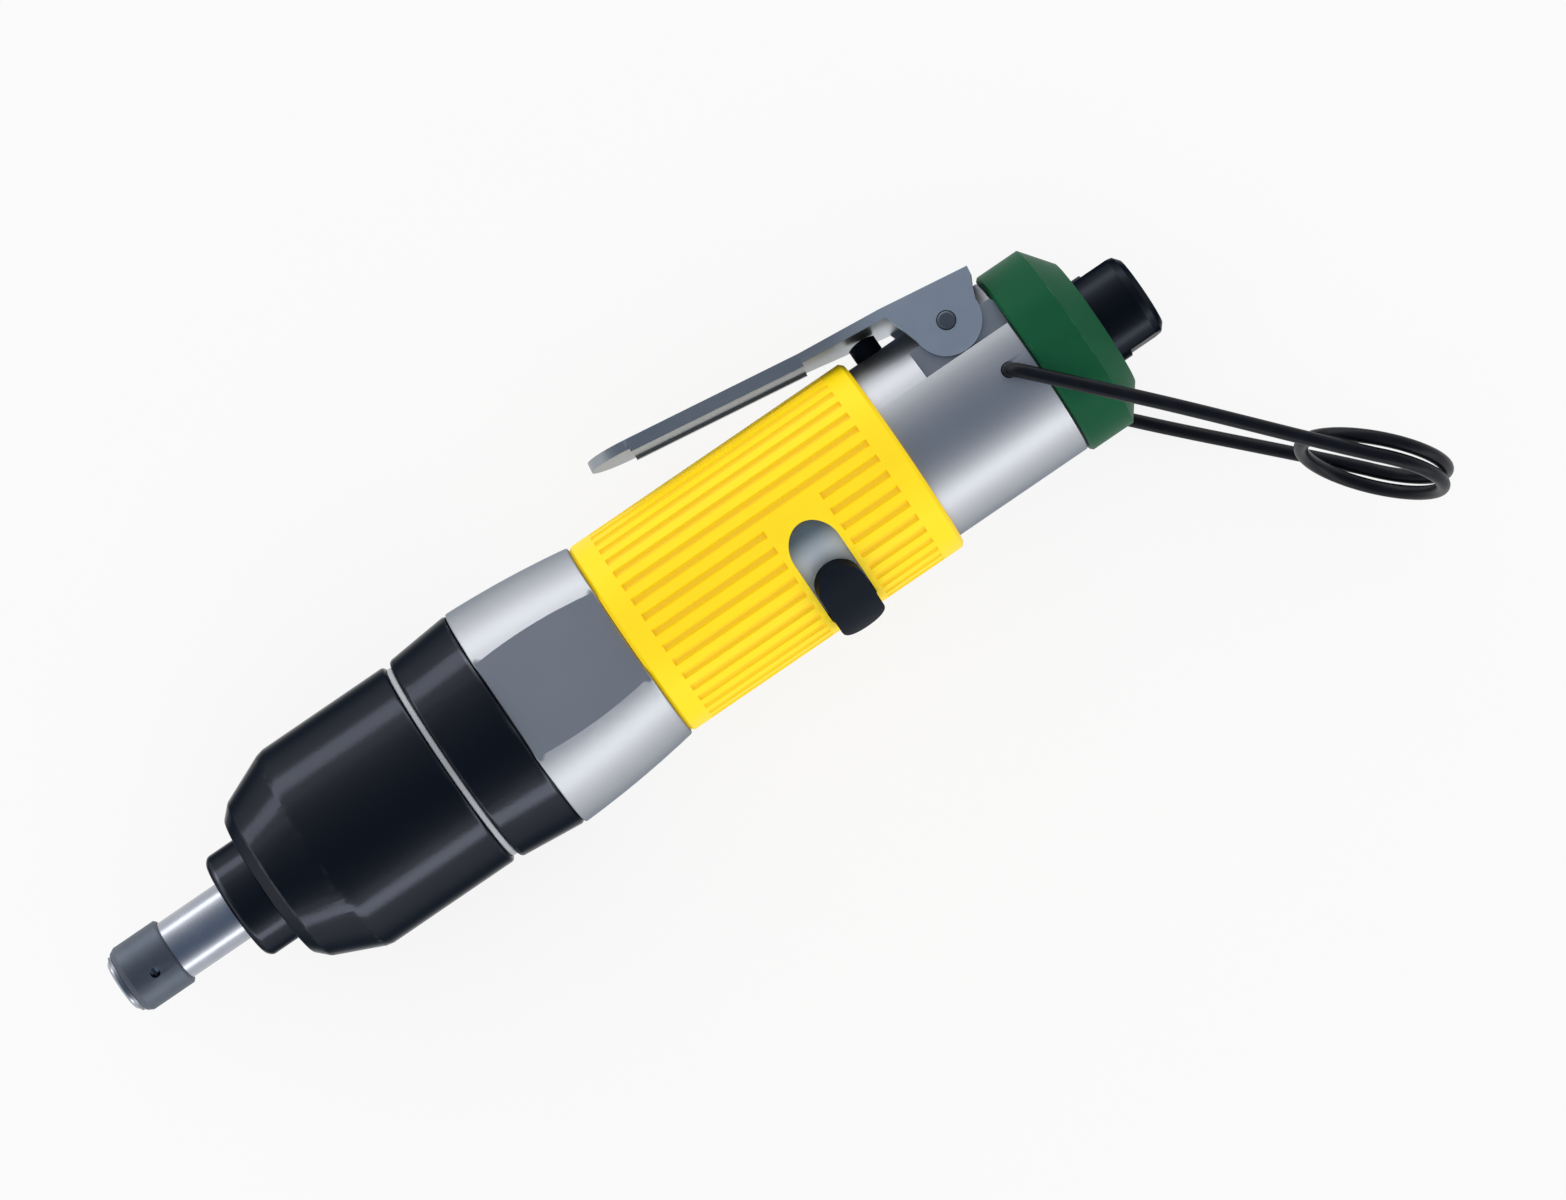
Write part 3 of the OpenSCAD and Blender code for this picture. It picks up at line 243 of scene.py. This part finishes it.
def black_oxide():
    """Glossy black oxide on turned steel: a faint orange peel, a shine that dies away where the surface
    turns from the eye, worn edges that show a greyer ground, and bare steel in the inlet's thread."""
    f = Finish("black_oxide")
    mottle = f.noise(90)
    scuff = f.noise(700, 5).step(0.66, 0.8)
    worn = f.edge_wear(150, 5, 0.46, 0.78)
    rear = f.x.step(*INLET_FRONT)
    ground = rear.mixed(mottle.mixed(rgb(47, 49, 55), rgb(51, 53, 60)), rgb(36, 39, 45))
    thread = rear * (1 - f.radius.step(*INLET_THREAD))
    bare = (worn * 0.4).larger(thread)
    f.set(
        metallic=1.0,
        base_color=bare.mixed(ground, rgb(104, 108, 116)),
        roughness=0.14 + mottle * 0.07 + scuff * 0.12 + worn * 0.1 + rear * 0.12,
        specular_tint=(0.395, 0.403, 0.41, 1.0),
    )
    return f.bump(f.noise(1600, 2) * 0.6 + f.noise(5200, 2) * 0.25, 40 * MICRON, 0.35).material


def polished_aluminium():
    """Turned and polished aluminium with fine rings and a slight haze, darker where it turns from the eye."""
    f = Finish("polished_aluminium")
    lines = f.lathe_lines(5200)
    haze = f.noise(60, 4)
    f.set(
        metallic=1.0,
        base_color=haze.mixed(rgb(178, 181, 186), rgb(187, 189, 194)),
        roughness=0.4 + lines * 0.08 + haze * 0.05,
        specular_tint=(0.2, 0.25, 0.32, 1.0),
    )
    return f.bump(lines, 12 * MICRON, 0.5).material


def bright_steel():
    """Ground and plated steel with close rings."""
    f = Finish("bright_steel")
    lines = f.lathe_lines(7000)
    stain = f.noise(240, 4)
    f.set(
        metallic=1.0,
        base_color=stain.mixed(rgb(152, 157, 168), rgb(175, 179, 188)),
        roughness=0.18 + lines * 0.1 + stain * 0.06,
    )
    return f.bump(lines, 10 * MICRON, 0.5).material


def satin_steel():
    """Blasted steel of the reversing ring, coloured with a painted reflection, light beside the knob, and
    painted shade further along.
    """
    f = Finish("satin_steel")
    rubbed = f.noise(1.0, 4, f.vector(f.x * 4200, f.y * 120, f.z * 120), 0.65)
    cloud = f.noise(220, 4)
    # Painted reflection and shade: the ring's colour is light beside the knob and darker away from it
    ring_shade_mask = f.y.step(*RING_SHADE_SPAN)
    bright = cloud.mixed(rgb(204, 215, 223), rgb(218, 227, 234))
    ring_shade = cloud.mixed(rgb(90, 106, 120), rgb(102, 118, 132))
    f.set(
        metallic=0.45,
        base_color=ring_shade_mask.mixed(bright, ring_shade),
        roughness=0.46 + rubbed * 0.1,
        specular_ior_level=0.3,
    )
    return f.bump(rubbed + f.noise(3000, 2) * 0.4, 15 * MICRON, 0.5).material


def zinc_plate():
    """Dull zinc plate, with soft patches of the passivation."""
    f = Finish("zinc_plate")
    bloom = f.noise(300, 4)
    f.set(
        metallic=0.35,
        base_color=bloom.mixed(rgb(168, 170, 176), rgb(192, 194, 199)),
        roughness=0.6 + bloom * 0.12,
        specular_ior_level=0.2,
    )
    return f.bump(f.lathe_lines(6000), 10 * MICRON, 0.4).material


def dark_steel():
    """Blackened tool steel, oiled, with turning rings."""
    f = Finish("dark_steel")
    lines = f.lathe_lines(4200)
    cloud = f.noise(300, 4)
    worn = f.edge_wear(900, 4, 0.4, 0.75)
    ground = cloud.mixed(rgb(80, 88, 99), rgb(104, 111, 122))
    f.set(
        metallic=0.9,
        base_color=(worn * 0.3).mixed(ground, rgb(150, 155, 164)),
        roughness=0.42 + lines * 0.14 + cloud * 0.08,
    )
    return f.bump(lines, 15 * MICRON, 0.5).material


def lever_steel():
    """Pressed steel sheet, brushed along the lever, with painted shade that darkens its strap."""
    f = Finish("lever_steel")
    grain = f.noise(1.0, 4, f.vector(f.x * 260, f.y * 5200, f.z * 5200), 0.65)
    cloud = f.noise(160, 4)
    worn = f.edge_wear(800, 3, 0.35, 0.7)
    ears = cloud.mixed(rgb(194, 203, 212), rgb(206, 213, 221))
    # Painted shade: the strap is coloured darker than the ears
    strap_painted_shade = cloud.mixed(rgb(146, 153, 160), rgb(160, 166, 173))
    ground = f.x.step(*LEVER_EARS).mixed(strap_painted_shade, ears)
    f.set(
        metallic=1.0,
        base_color=(worn * 0.5).mixed(ground, rgb(205, 208, 214)),
        roughness=0.26 + grain * 0.16 + cloud * 0.08,
    )
    return f.bump(grain, 15 * MICRON, 0.6).material


def spring_steel():
    """Drawn and oil-tempered wire, blue-grey."""
    f = Finish("spring_steel")
    cloud = f.noise(500, 4)
    f.set(
        metallic=1.0,
        base_color=cloud.mixed(rgb(104, 110, 122), rgb(150, 152, 158)),
        roughness=0.28 + cloud * 0.2,
    )
    return f.bump(f.noise(4000, 2), 10 * MICRON, 0.4).material


def bearing_bronze():
    """Sintered bronze with open pores."""
    f = Finish("bearing_bronze")
    pores = f.noise(2600, 3).step(0.6, 0.72)
    cloud = f.noise(260, 4)
    ground = cloud.mixed(rgb(176, 128, 74), rgb(206, 158, 98))
    f.set(
        metallic=1.0,
        base_color=(pores * 0.6).mixed(ground, rgb(96, 66, 36)),
        roughness=0.36 + pores * 0.25,
    )
    return f.bump(1 - pores, 30 * MICRON, 0.5).material


def yellow_grip():
    """Moulded yellow grip: a fine moulded grain, with painted shade, a darker, oranger tone, down in its
    grooves.
    """
    f = Finish("yellow_grip")
    crest_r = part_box("grip_sleeve")[1].z
    # Painted shade: below the crests the grooves take a darker, oranger colour
    crest = f.radius.step(*(crest_r - depth for depth in GROOVE_SHADE_DEPTHS))
    mottle = f.noise(110, 4)
    dust = f.noise(800, 4).step(0.62, 0.8)
    top = mottle.mixed(rgb(250, 214, 0), rgb(253, 224, 6))
    f.set(
        base_color=crest.mixed(rgb(250, 208, 22), top),
        roughness=0.42 + mottle * 0.12 + dust * 0.1,
        specular_ior_level=0.25,
    )
    return f.bump(f.noise(3200, 3), 30 * MICRON, 0.4).material


def black_plastic():
    """Moulded black plastic with a fine spark-eroded grain."""
    f = Finish("black_plastic")
    mottle = f.noise(160, 4)
    worn = f.edge_wear(700, 4, 0.4, 0.8)
    ground = mottle.mixed(rgb(8, 14, 23), rgb(16, 24, 36))
    f.set(
        base_color=(worn * 0.4).mixed(ground, rgb(74, 78, 86)),
        roughness=0.42 + mottle * 0.14,
        specular_ior_level=0.05,
    )
    return f.bump(f.noise(3600, 2), 30 * MICRON, 0.35).material


def green_cap():
    """Green enamel over a turned cap."""
    f = Finish("green_cap")
    lines = f.lathe_lines(2600)
    mottle = f.noise(120, 4)
    worn = f.edge_wear(500, 4, 0.45, 0.8)
    ground = mottle.mixed(rgb(12, 70, 44), rgb(22, 88, 57))
    f.set(
        base_color=(worn * 0.45).mixed(ground, rgb(98, 140, 118)),
        roughness=0.36 + mottle * 0.12 + lines * 0.06,
        specular_ior_level=0.06,
    )
    return f.bump(lines * 0.4 + f.noise(1800, 2) * 0.6, 30 * MICRON, 0.35).material


def black_wire():
    """Dipped black coating on the bail's wire, thin and slightly lumpy."""
    f = Finish("black_wire")
    lumps = f.noise(420, 3)
    chips = f.noise(1100, 5).step(0.7, 0.8)
    ground = lumps.mixed(rgb(6, 8, 15), rgb(14, 18, 28))
    f.set(
        base_color=(chips * 0.35).mixed(ground, rgb(62, 66, 74)),
        roughness=0.3 + lumps * 0.16 + chips * 0.12,
        specular_ior_level=0.16,
    )
    return f.bump(lumps + f.noise(2600, 2) * 0.3, 50 * MICRON, 0.35).material


def seal_rubber():
    """Matte nitrile rubber."""
    f = Finish("seal_rubber")
    bloom = f.noise(500, 4)
    f.set(base_color=bloom.mixed(rgb(22, 22, 24), rgb(40, 40, 42)), roughness=0.6 + bloom * 0.15)
    return f.bump(f.noise(3000, 2), 20 * MICRON, 0.4).material


def vane_composite():
    """Pressed cloth and resin, as motor vanes are."""
    f = Finish("vane_composite")
    weave = f.noise(1.0, 2, f.vector(f.x * 1800, f.radius * 1800, f.z * 300))
    f.set(base_color=weave.mixed(rgb(96, 58, 30), rgb(140, 92, 54)), roughness=0.5 + weave * 0.2)
    return f.bump(weave, 30 * MICRON, 0.5).material


def felt():
    """Pressed felt of the silencer, with loose fibres."""
    f = Finish("felt")
    fibre = f.noise(2200, 6, roughness=0.7)
    f.set(base_color=fibre.mixed(rgb(150, 138, 112), rgb(206, 194, 166)), roughness=0.85 + fibre * 0.1)
    return f.bump(fibre, 200 * MICRON, 0.8).material


# The finish of each material slot in the record
FINISHES = {
    "black_paint": black_oxide(),
    "polished_aluminium": polished_aluminium(),
    "bright_steel": bright_steel(),
    "zinc_plate": zinc_plate(),
    "dark_steel": dark_steel(),
    "lever_steel": lever_steel(),
    "spring_steel": spring_steel(),
    "bearing_bronze": bearing_bronze(),
    "yellow_grip": yellow_grip(),
    "black_plastic": black_plastic(),
    "green_cap": green_cap(),
    "black_wire": black_wire(),
    "seal_rubber": seal_rubber(),
    "vane_composite": vane_composite(),
    "felt": felt(),
}


# Pieces


def in_scene(name, data):
    """A new object in the scene."""
    made = bpy.data.objects.new(name, data)
    bpy.context.scene.collection.objects.link(made)
    return made


def add_piece(name, mesh, node, rides=True):
    """Puts a finished mesh in the scene in place of a CAD node, on that node's body and with its finish."""
    piece = in_scene(name, mesh)
    mesh.materials.clear()
    mesh.materials.append(FINISHES[slot_of_node[node]])
    if rides:
        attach(piece, body_of_node[node])
    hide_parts(node)
    return piece


def applied(piece):
    """The piece's mesh with its modifiers made part of it; the piece itself goes."""
    graph = bpy.context.evaluated_depsgraph_get()
    mesh = bpy.data.meshes.new_from_object(piece.evaluated_get(graph), depsgraph=graph)
    bpy.data.objects.remove(piece)
    return mesh


# Round wire


def round_wire_tree():
    """Sweeps a round section along a path. Gives the tree and the identifier of each of its sizes."""
    tree = bpy.data.node_groups.new("round_wire", "GeometryNodeTree")
    tree.interface.new_socket("Path", in_out="INPUT", socket_type="NodeSocketGeometry")
    sizes = {}
    for name, kind in (
        ("Wire radius", "NodeSocketFloat"),
        ("Sides", "NodeSocketInt"),
        ("Finish", "NodeSocketMaterial"),
    ):
        sizes[name] = tree.interface.new_socket(name, in_out="INPUT", socket_type=kind).identifier
    tree.interface.new_socket("Wire", in_out="OUTPUT", socket_type="NodeSocketGeometry")
    inlet = tree.nodes.new("NodeGroupInput")
    outlet = tree.nodes.new("NodeGroupOutput")
    section = tree.nodes.new("GeometryNodeCurvePrimitiveCircle")
    sweep = tree.nodes.new("GeometryNodeCurveToMesh")
    smooth = tree.nodes.new("GeometryNodeSetShadeSmooth")
    real = tree.nodes.new("GeometryNodeRealizeInstances")
    coat = tree.nodes.new("GeometryNodeSetMaterial")
    sweep.inputs["Fill Caps"].default_value = True
    for source, target in (
        (inlet.outputs["Path"], sweep.inputs["Curve"]),
        (inlet.outputs["Wire radius"], section.inputs["Radius"]),
        (inlet.outputs["Sides"], section.inputs["Resolution"]),
        (section.outputs["Curve"], sweep.inputs["Profile Curve"]),
        (sweep.outputs["Mesh"], smooth.inputs["Geometry"]),
        (smooth.outputs["Geometry"], real.inputs["Geometry"]),
        (real.outputs["Geometry"], coat.inputs["Geometry"]),
        (inlet.outputs["Finish"], coat.inputs["Material"]),
        (coat.outputs["Geometry"], outlet.inputs["Wire"]),
    ):
        tree.links.new(source, target)
    return tree, sizes


WIRE_TREE, WIRE_SIZES = round_wire_tree()


def wire_mesh(name, path, radius, node, sides):
    """A round wire along points, in a CAD node's finish."""
    curve = bpy.data.curves.new(name + "_path", "CURVE")
    curve.dimensions = "3D"
    line = curve.splines.new("POLY")
    line.points.add(len(path) - 1)
    for point, place in zip(line.points, path):
        point.co = (*place, 1)
    holder = in_scene(name + "_path", curve)
    sweep = holder.modifiers.new("round_wire", "NODES")
    sweep.node_group = WIRE_TREE
    sweep[WIRE_SIZES["Wire radius"]] = radius
    sweep[WIRE_SIZES["Sides"]] = sides
    sweep[WIRE_SIZES["Finish"]] = FINISHES[slot_of_node[node]]
    made = applied(holder)
    bpy.data.curves.remove(curve)
    shell = bmesh.new()
    shell.from_mesh(made)
    bmesh.ops.recalc_face_normals(shell, faces=shell.faces)
    shell.to_mesh(made)
    shell.free()
    return made


def round_wire(name, path, radius, node, sides, rides=True):
    """A round wire along points, in place of a CAD node of a few flat sides."""
    return add_piece(name, wire_mesh(name, path, radius, node, sides), node, rides)


# The bail: its legs leave the pivot, draw in to the eye and wind round it one and a half times
WIRE_R = 1.12 * MM
WIRE_SIDES = 24
BAIL_PIVOT = 165.4 * MM
BAIL_ANGLE = math.radians(47.2)
PIN_END = 12.2 * MM
BEND_LEAD = 0.4 * MM
BEND_R = 2.5 * MM
BEND_STEPS = 10
LEG_Z = 17.6 * MM
LEG_STRAIGHT = 20 * MM
LEG_STEPS = 36
BAIL_LEN = 57 * MM
EYE_R = 11.24 * MM
EYE_PITCH = 2.6 * MM
EYE_TWIST = math.radians(10)
EYE_TURN = math.radians(270)
EYE_STEPS = 72


def eye_point(turn):
    """A point of the bail's eye, that far round from where the upper leg joins it."""
    side = EYE_R * math.cos(turn)
    lift = EYE_PITCH * (turn - EYE_TURN) / math.tau
    return Vector((
        BAIL_LEN + EYE_R * math.sin(turn),
        side * math.sin(EYE_TWIST) + lift * math.cos(EYE_TWIST),
        side * math.cos(EYE_TWIST) - lift * math.sin(EYE_TWIST),
    ))


def bail_path():
    """The middle line of the bail's wire: one half from its pin to the middle of the eye, and its twin."""
    bend_z = LEG_Z - BEND_R
    half = [Vector((0, 0, PIN_END)), Vector((0, 0, bend_z - BEND_LEAD))]
    for k in range(BEND_STEPS + 1):
        turn = math.pi / 2 * k / BEND_STEPS
        half.append(Vector((BEND_R - BEND_R * math.cos(turn), 0, bend_z + BEND_R * math.sin(turn))))
    start = Vector((LEG_STRAIGHT, 0, LEG_Z))
    end = eye_point(0)
    for k in range(LEG_STEPS):
        share = k / LEG_STEPS
        bend = share * share * (3 - 2 * share)
        half.append(Vector((
            start.x + (end.x - start.x) * share,
            start.y + (end.y - start.y) * bend,
            start.z + (end.z - start.z) * bend,
        )))
    half += [eye_point(EYE_TURN * k / EYE_STEPS) for k in range(EYE_STEPS)]
    twin = [Vector((point.x, -point.y, -point.z)) for point in reversed(half)]
    place = Matrix.Translation((BAIL_PIVOT, 0, 0)) @ Matrix.Rotation(-BAIL_ANGLE, 4, "Z")
    return [place @ point for point in half + [eye_point(EYE_TURN)] + twin]


round_wire("bail_wire", bail_path(), WIRE_R, "suspension_bail", WIRE_SIDES)

STEPS_PER_TURN = 40


def helix(start_x, rise, radius, turns):
    """Points that wind round the tool's axis."""
    steps = int(turns * STEPS_PER_TURN)
    return [
        Vector((
            start_x + rise * k / steps,
            radius * math.cos(math.tau * turns * k / steps),
            radius * math.sin(math.tau * turns * k / steps),
        ))
        for k in range(steps + 1)
    ]


def coil_path(node, wire_r, turns):
    """The middle line of a coil spring that fills its CAD node's box."""
    low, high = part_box(node)
    coil_r = 0.5 * (high.y - low.y) - wire_r
    rise = high.x - low.x - 2 * wire_r
    return helix(low.x + wire_r, rise, coil_r, turns)


# Each coil spring's piece, with its wire's radius in millimetres, its turns and the sides of its wire
SPRINGS = {
    "chuck_spring": ("sleeve_spring_wire", 0.2, 2.5, 12),
    "clutch_spring": ("clutch_spring_wire", 0.75, 2.5, 16),
    "valve_spring": ("valve_spring_wire", 0.4, 3, 12),
}


def working_spring(node, fixed_x, joint):
    """A coil spring's wire, which rides its node's body when its joint slides, and is fixed in place when the
    joint turns.
    """
    name, wire_r, turns, sides = SPRINGS[node]
    slides = joint["type"] == "slide"
    coil = round_wire(name, coil_path(node, wire_r * MM, turns), wire_r * MM, node, sides, rides=slides)
    free_x = max((corner.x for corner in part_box(node)), key=lambda x: abs(x - fixed_x))
    if slides:
        pressed = max(joint["range_m"]) / abs(free_x - fixed_x)
        1 - pressed
        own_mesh(coil)
    else:
        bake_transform(coil)


for joint in record["behaviour"]["joints"]:
    for spring in joint.get("deforming_nodes", []):
        working_spring(spring["node"], spring["fixed_end_x_m"], joint)

# The air inlet's pipe thread: its pitch, and the round groove that is cut along it from outside the mouth
THREAD_PITCH = 0.907 * MM
THREAD_DEPTH = 0.58 * MM
THREAD_LEAD = 0.4 * THREAD_PITCH
GROOVE_R = 0.41 * MM
GROOVE_SIDES = 10


def inlet_thread():
    """The helical groove of the inlet's thread, from its mouth inwards, as a solid to cut away."""
    inlet = next(mount for mount in record["mounts"] if mount["name"] == "air_inlet")
    helix_r = inlet["dims"]["r_mm"] * MM + THREAD_DEPTH - GROOVE_R
    length = inlet["dims"]["length_mm"] * MM
    path = helix(inlet["pos_m"][0] + THREAD_LEAD, -length, helix_r, length / THREAD_PITCH)
    return in_scene("thread_groove", wire_mesh("thread_groove", path, GROOVE_R, "inlet_bush", GROOVE_SIDES))


# Broken edges

# The bevel gives this material number to the faces of broken edges
BROKEN_EDGE = 1
EDGE_SEGMENTS = 2
# Points closer than this are one, and faces that turn less than this angle in degrees are one
WELD = 2 * MICRON
FLAT_ANGLE = 0.6
# The least angles in degrees at which an edge is broken, and at which an unbroken one stays crisp
EDGE_ANGLE = 32
CRISP_ANGLE = 20
# Pieces whose edges show, with the width of the broken edge in millimetres
BROKEN_EDGES = {
    "bit_sleeve": 0.15,
    "output_spindle": 0.15,
    "nose_collar": 0.35,
    "clutch_housing": 0.4,
    "joint_washer": 0.2,
    "lock_ring": 0.35,
    "gear_housing": 0.3,
    "motor_housing": 0.25,
    "grip_sleeve": 0.2,
    "reverse_knob": 0.6,
    "throttle_lever": 0.35,
    "throttle_plunger": 0.2,
    "lever_pin": 0.15,
    "rear_cap": 0.35,
    "inlet_bush": 0.35,
}
# Pieces with edges that turn less than the rest but are broken, with their own least angle
SHALLOW_EDGES = {"clutch_housing": 12, "rear_cap": 20}
# The barrel's flats end in edges that turn little and aren't broken
CRISP_EDGES = {"gear_housing": 12}


def mark_edges(mesh):
    """Stores which faces are broken edges, for a finish's wear, in place of their material number."""
    numbers = [0] * len(mesh.polygons)
    mesh.polygons.foreach_get("material_index", numbers)
    attribute = mesh.attributes.new("edge", "FLOAT", "FACE")
    attribute.data.foreach_set("value", [float(number == BROKEN_EDGE) for number in numbers])
    mesh.polygons.foreach_set("material_index", [0] * len(numbers))


def soft_edged(node, width, angle, crisp, cutter):
    """A copy of a CAD node with its edges broken, as a deburred piece has. Edges that turn less stay crisp,
    or are smooth below the crisp angle. A cutter is taken out of it last, and goes."""
    mesh = nodes[node].data.copy()
    solid = bmesh.new()
    solid.from_mesh(mesh)
    bmesh.ops.remove_doubles(solid, verts=solid.verts, dist=WELD)
    bmesh.ops.dissolve_limit(
        solid, angle_limit=math.radians(FLAT_ANGLE), verts=solid.verts, edges=solid.edges
    )
    for face in solid.faces:
        face.smooth = True
    for edge in solid.edges:
        edge.smooth = not math.radians(crisp) < edge.calc_face_angle(0.0) <= math.radians(angle)
    solid.to_mesh(mesh)
    solid.free()
    for _ in range(BROKEN_EDGE + 1 - len(mesh.materials)):
        mesh.materials.append(None)
    piece = in_scene(node + "_soft", mesh)
    bevel = piece.modifiers.new("broken_edges", "BEVEL")
    bevel.limit_method = "ANGLE"
    bevel.angle_limit = math.radians(angle)
    bevel.width = width * MM
    bevel.segments = EDGE_SEGMENTS
    bevel.material = BROKEN_EDGE
    bevel.use_clamp_overlap = True
    bevel.miter_outer = "MITER_ARC"
    if cutter:
        cut = piece.modifiers.new("cut", "BOOLEAN")
        cut.operation = "DIFFERENCE"
        cut.solver = "EXACT"
        cut.object = cutter
    weighted = piece.modifiers.new("flat_faces", "WEIGHTED_NORMAL")
    weighted.keep_sharp = True
    made = applied(piece)
    if cutter:
        bpy.data.objects.remove(cutter)
    mark_edges(made)
    add_piece(node + "_finished", made, node)


for node, width in BROKEN_EDGES.items():
    angle = SHALLOW_EDGES.get(node, EDGE_ANGLE)
    crisp = CRISP_EDGES.get(node, CRISP_ANGLE)
    soft_edged(node, width, angle, crisp, inlet_thread() if node == "inlet_bush" else None)

# CAD nodes that stay. The reversing ring is of the spindle's steel, but isn't ground
OWN_FINISHES = {"reverse_ring": satin_steel()}
for node, cad in nodes.items():
    cad.data.materials.clear()
    cad.data.materials.append(OWN_FINISHES.get(node, FINISHES[slot_of_node[node]]))


# Stage, lamps and camera, in metres

STAGE_X = 0.1
FLOOR_HALF = 6
# The share of the floor's look that is plain white; the rest is lit and keeps the shadow
FLOOR_WHITE = 0.85
CARD_Y = -0.5
CARD_Z = 1.25
CARD_HALF_LENGTH = 3
CARD_HALF_WIDTH = 2.1
# The square of the distance from the card's middle line at which its glow is full
CARD_FADE = 4.4
# The white surround's strength as light on the object; to the eye it is 1
ROOM_LIGHT = 0.94
# Each lamp's place, its length and height, and its power in watts
LAMPS = {
    "lever_side_lamp": ((STAGE_X, 2.5, 0.6), (5.5, 0.9), 32),
    "knob_side_lamp": ((STAGE_X, -2.5, 0.33), (5.5, 0.66), 31),
}
VIEW_CENTRE = Vector((117.5, -8.2, 0)) * MM
VIEW_WIDTH = 240.9 * MM
VIEW_DISTANCE = 0.9
VIEW_TILT = math.radians(5)
VIEW_RIGHT = Vector((0.825, -0.565, 0))
# The width of the camera's sensor, in the camera's own millimetres
SENSOR_WIDTH = 36


def stage_plane(name, centre, half_x, half_y, material):
    """A level sheet of the stage, from its middle and its half sides."""
    mesh = bpy.data.meshes.new(name)
    corners = [
        centre + Vector((half_x * along, half_y * across, 0))
        for along, across in ((-1, -1), (1, -1), (1, 1), (-1, 1))
    ]
    mesh.from_pydata(corners, [], [(0, 1, 2, 3)])
    mesh.materials.append(material)
    sheet = in_scene(name, mesh)
    return sheet


def seen_directly(start):
    """1 for what the camera sees straight, in a mirror or through glass, and 0 for light on its way."""
    straight, mirrored, through = (
        start.node("ShaderNodeLightPath", output=name)
        for name in ("Is Camera Ray", "Is Glossy Ray", "Is Transmission Ray")
    )
    return straight.larger(mirrored).larger(through)


def floor_finish():
    """A pale floor that looks nearly white and keeps a soft shadow."""
    f = Finish("pale_floor")
    grain = f.noise(40, 4)
    f.set(
        base_color=grain.mixed((0.7, 0.7, 0.7, 1), (0.73, 0.73, 0.73, 1)),
        roughness=0.9,
        specular_ior_level=0.0,
    )
    white = f.place.node("ShaderNodeEmission", {}, {"Color": (1, 1, 1, 1), "Strength": 1.0})
    lit = Field(f.tree, f.shader.outputs["BSDF"])
    share = seen_directly(f.place) * FLOOR_WHITE
    both = f.place.node("ShaderNodeMixShader", {}, {0: share, 1: lit, 2: white})
    feed(f.tree, f.tree.nodes["Material Output"].inputs["Surface"], both)
    return f.material


def card_finish():
    """A grey card above the floor that the polished metal mirrors, darkest along its middle."""
    f = Finish("grey_card")
    off_middle = f.y - CARD_Y
    glow = (off_middle * off_middle / CARD_FADE).mixed((0.168, 0.215, 0.29, 1), (0.8, 0.8, 0.81, 1))
    f.set(base_color=(0, 0, 0, 1), specular_ior_level=0.0, emission_color=glow, emission_strength=1.0)
    return f.material


def overhead_card():
    """Only the shiny pieces see the card: it gives no other light and no shadow."""
    middle = Vector((STAGE_X, CARD_Y, CARD_Z))
    card = stage_plane("overhead_card", middle, CARD_HALF_LENGTH, CARD_HALF_WIDTH, card_finish())
    card.visible_camera = False
    card.visible_diffuse = False
    card.visible_shadow = False


def soft_box(name, place, size, power):
    """A long lamp that faces the tool."""
    light = bpy.data.lights.new(name, "AREA")
    light.shape = "RECTANGLE"
    light.size, light.size_y = size
    light.energy = power
    lamp = in_scene(name, light)
    lamp.location = place
    lamp.rotation_euler = (Vector((STAGE_X, 0, 0)) - lamp.location).to_track_quat("-Z", "Y").to_euler()


def white_room():
    """A white surround for what the camera and the shiny pieces see, and soft light from it for the rest."""
    world = bpy.data.worlds.new("white_room")
    world.use_nodes = True
    tree = world.node_tree
    background = tree.nodes["Background"]
    background.inputs["Color"].default_value = (1, 1, 1, 1)
    strength = ROOM_LIGHT + seen_directly(Field(tree, None)) * (1 - ROOM_LIGHT)
    feed(tree, background.inputs["Strength"], strength)
    bpy.context.scene.world = world


def photo_camera():
    """A camera above the tool, a little to the knob's side, with the rear end raised in the picture."""
    back = Vector((0, -math.sin(VIEW_TILT), math.cos(VIEW_TILT)))
    right = (VIEW_RIGHT - back * VIEW_RIGHT.dot(back)).normalized()
    up = back.cross(right)
    camera = bpy.data.cameras.new("photo_camera")
    camera.sensor_width = SENSOR_WIDTH
    camera.lens = SENSOR_WIDTH * VIEW_DISTANCE / VIEW_WIDTH
    holder = in_scene("photo_camera", camera)
    turn = Matrix((right, up, back)).transposed().to_4x4()
    holder.matrix_world = Matrix.Translation(VIEW_CENTRE + back * VIEW_DISTANCE) @ turn
    bpy.context.scene.camera = holder


stage_plane("floor", Vector((STAGE_X, 0, cad_low.z)), FLOOR_HALF, FLOOR_HALF, floor_finish())
overhead_card()
for name, (place, size, power) in LAMPS.items():
    soft_box(name, place, size, power)
white_room()
photo_camera()
bpy.context.scene.view_settings.view_transform = "Standard"
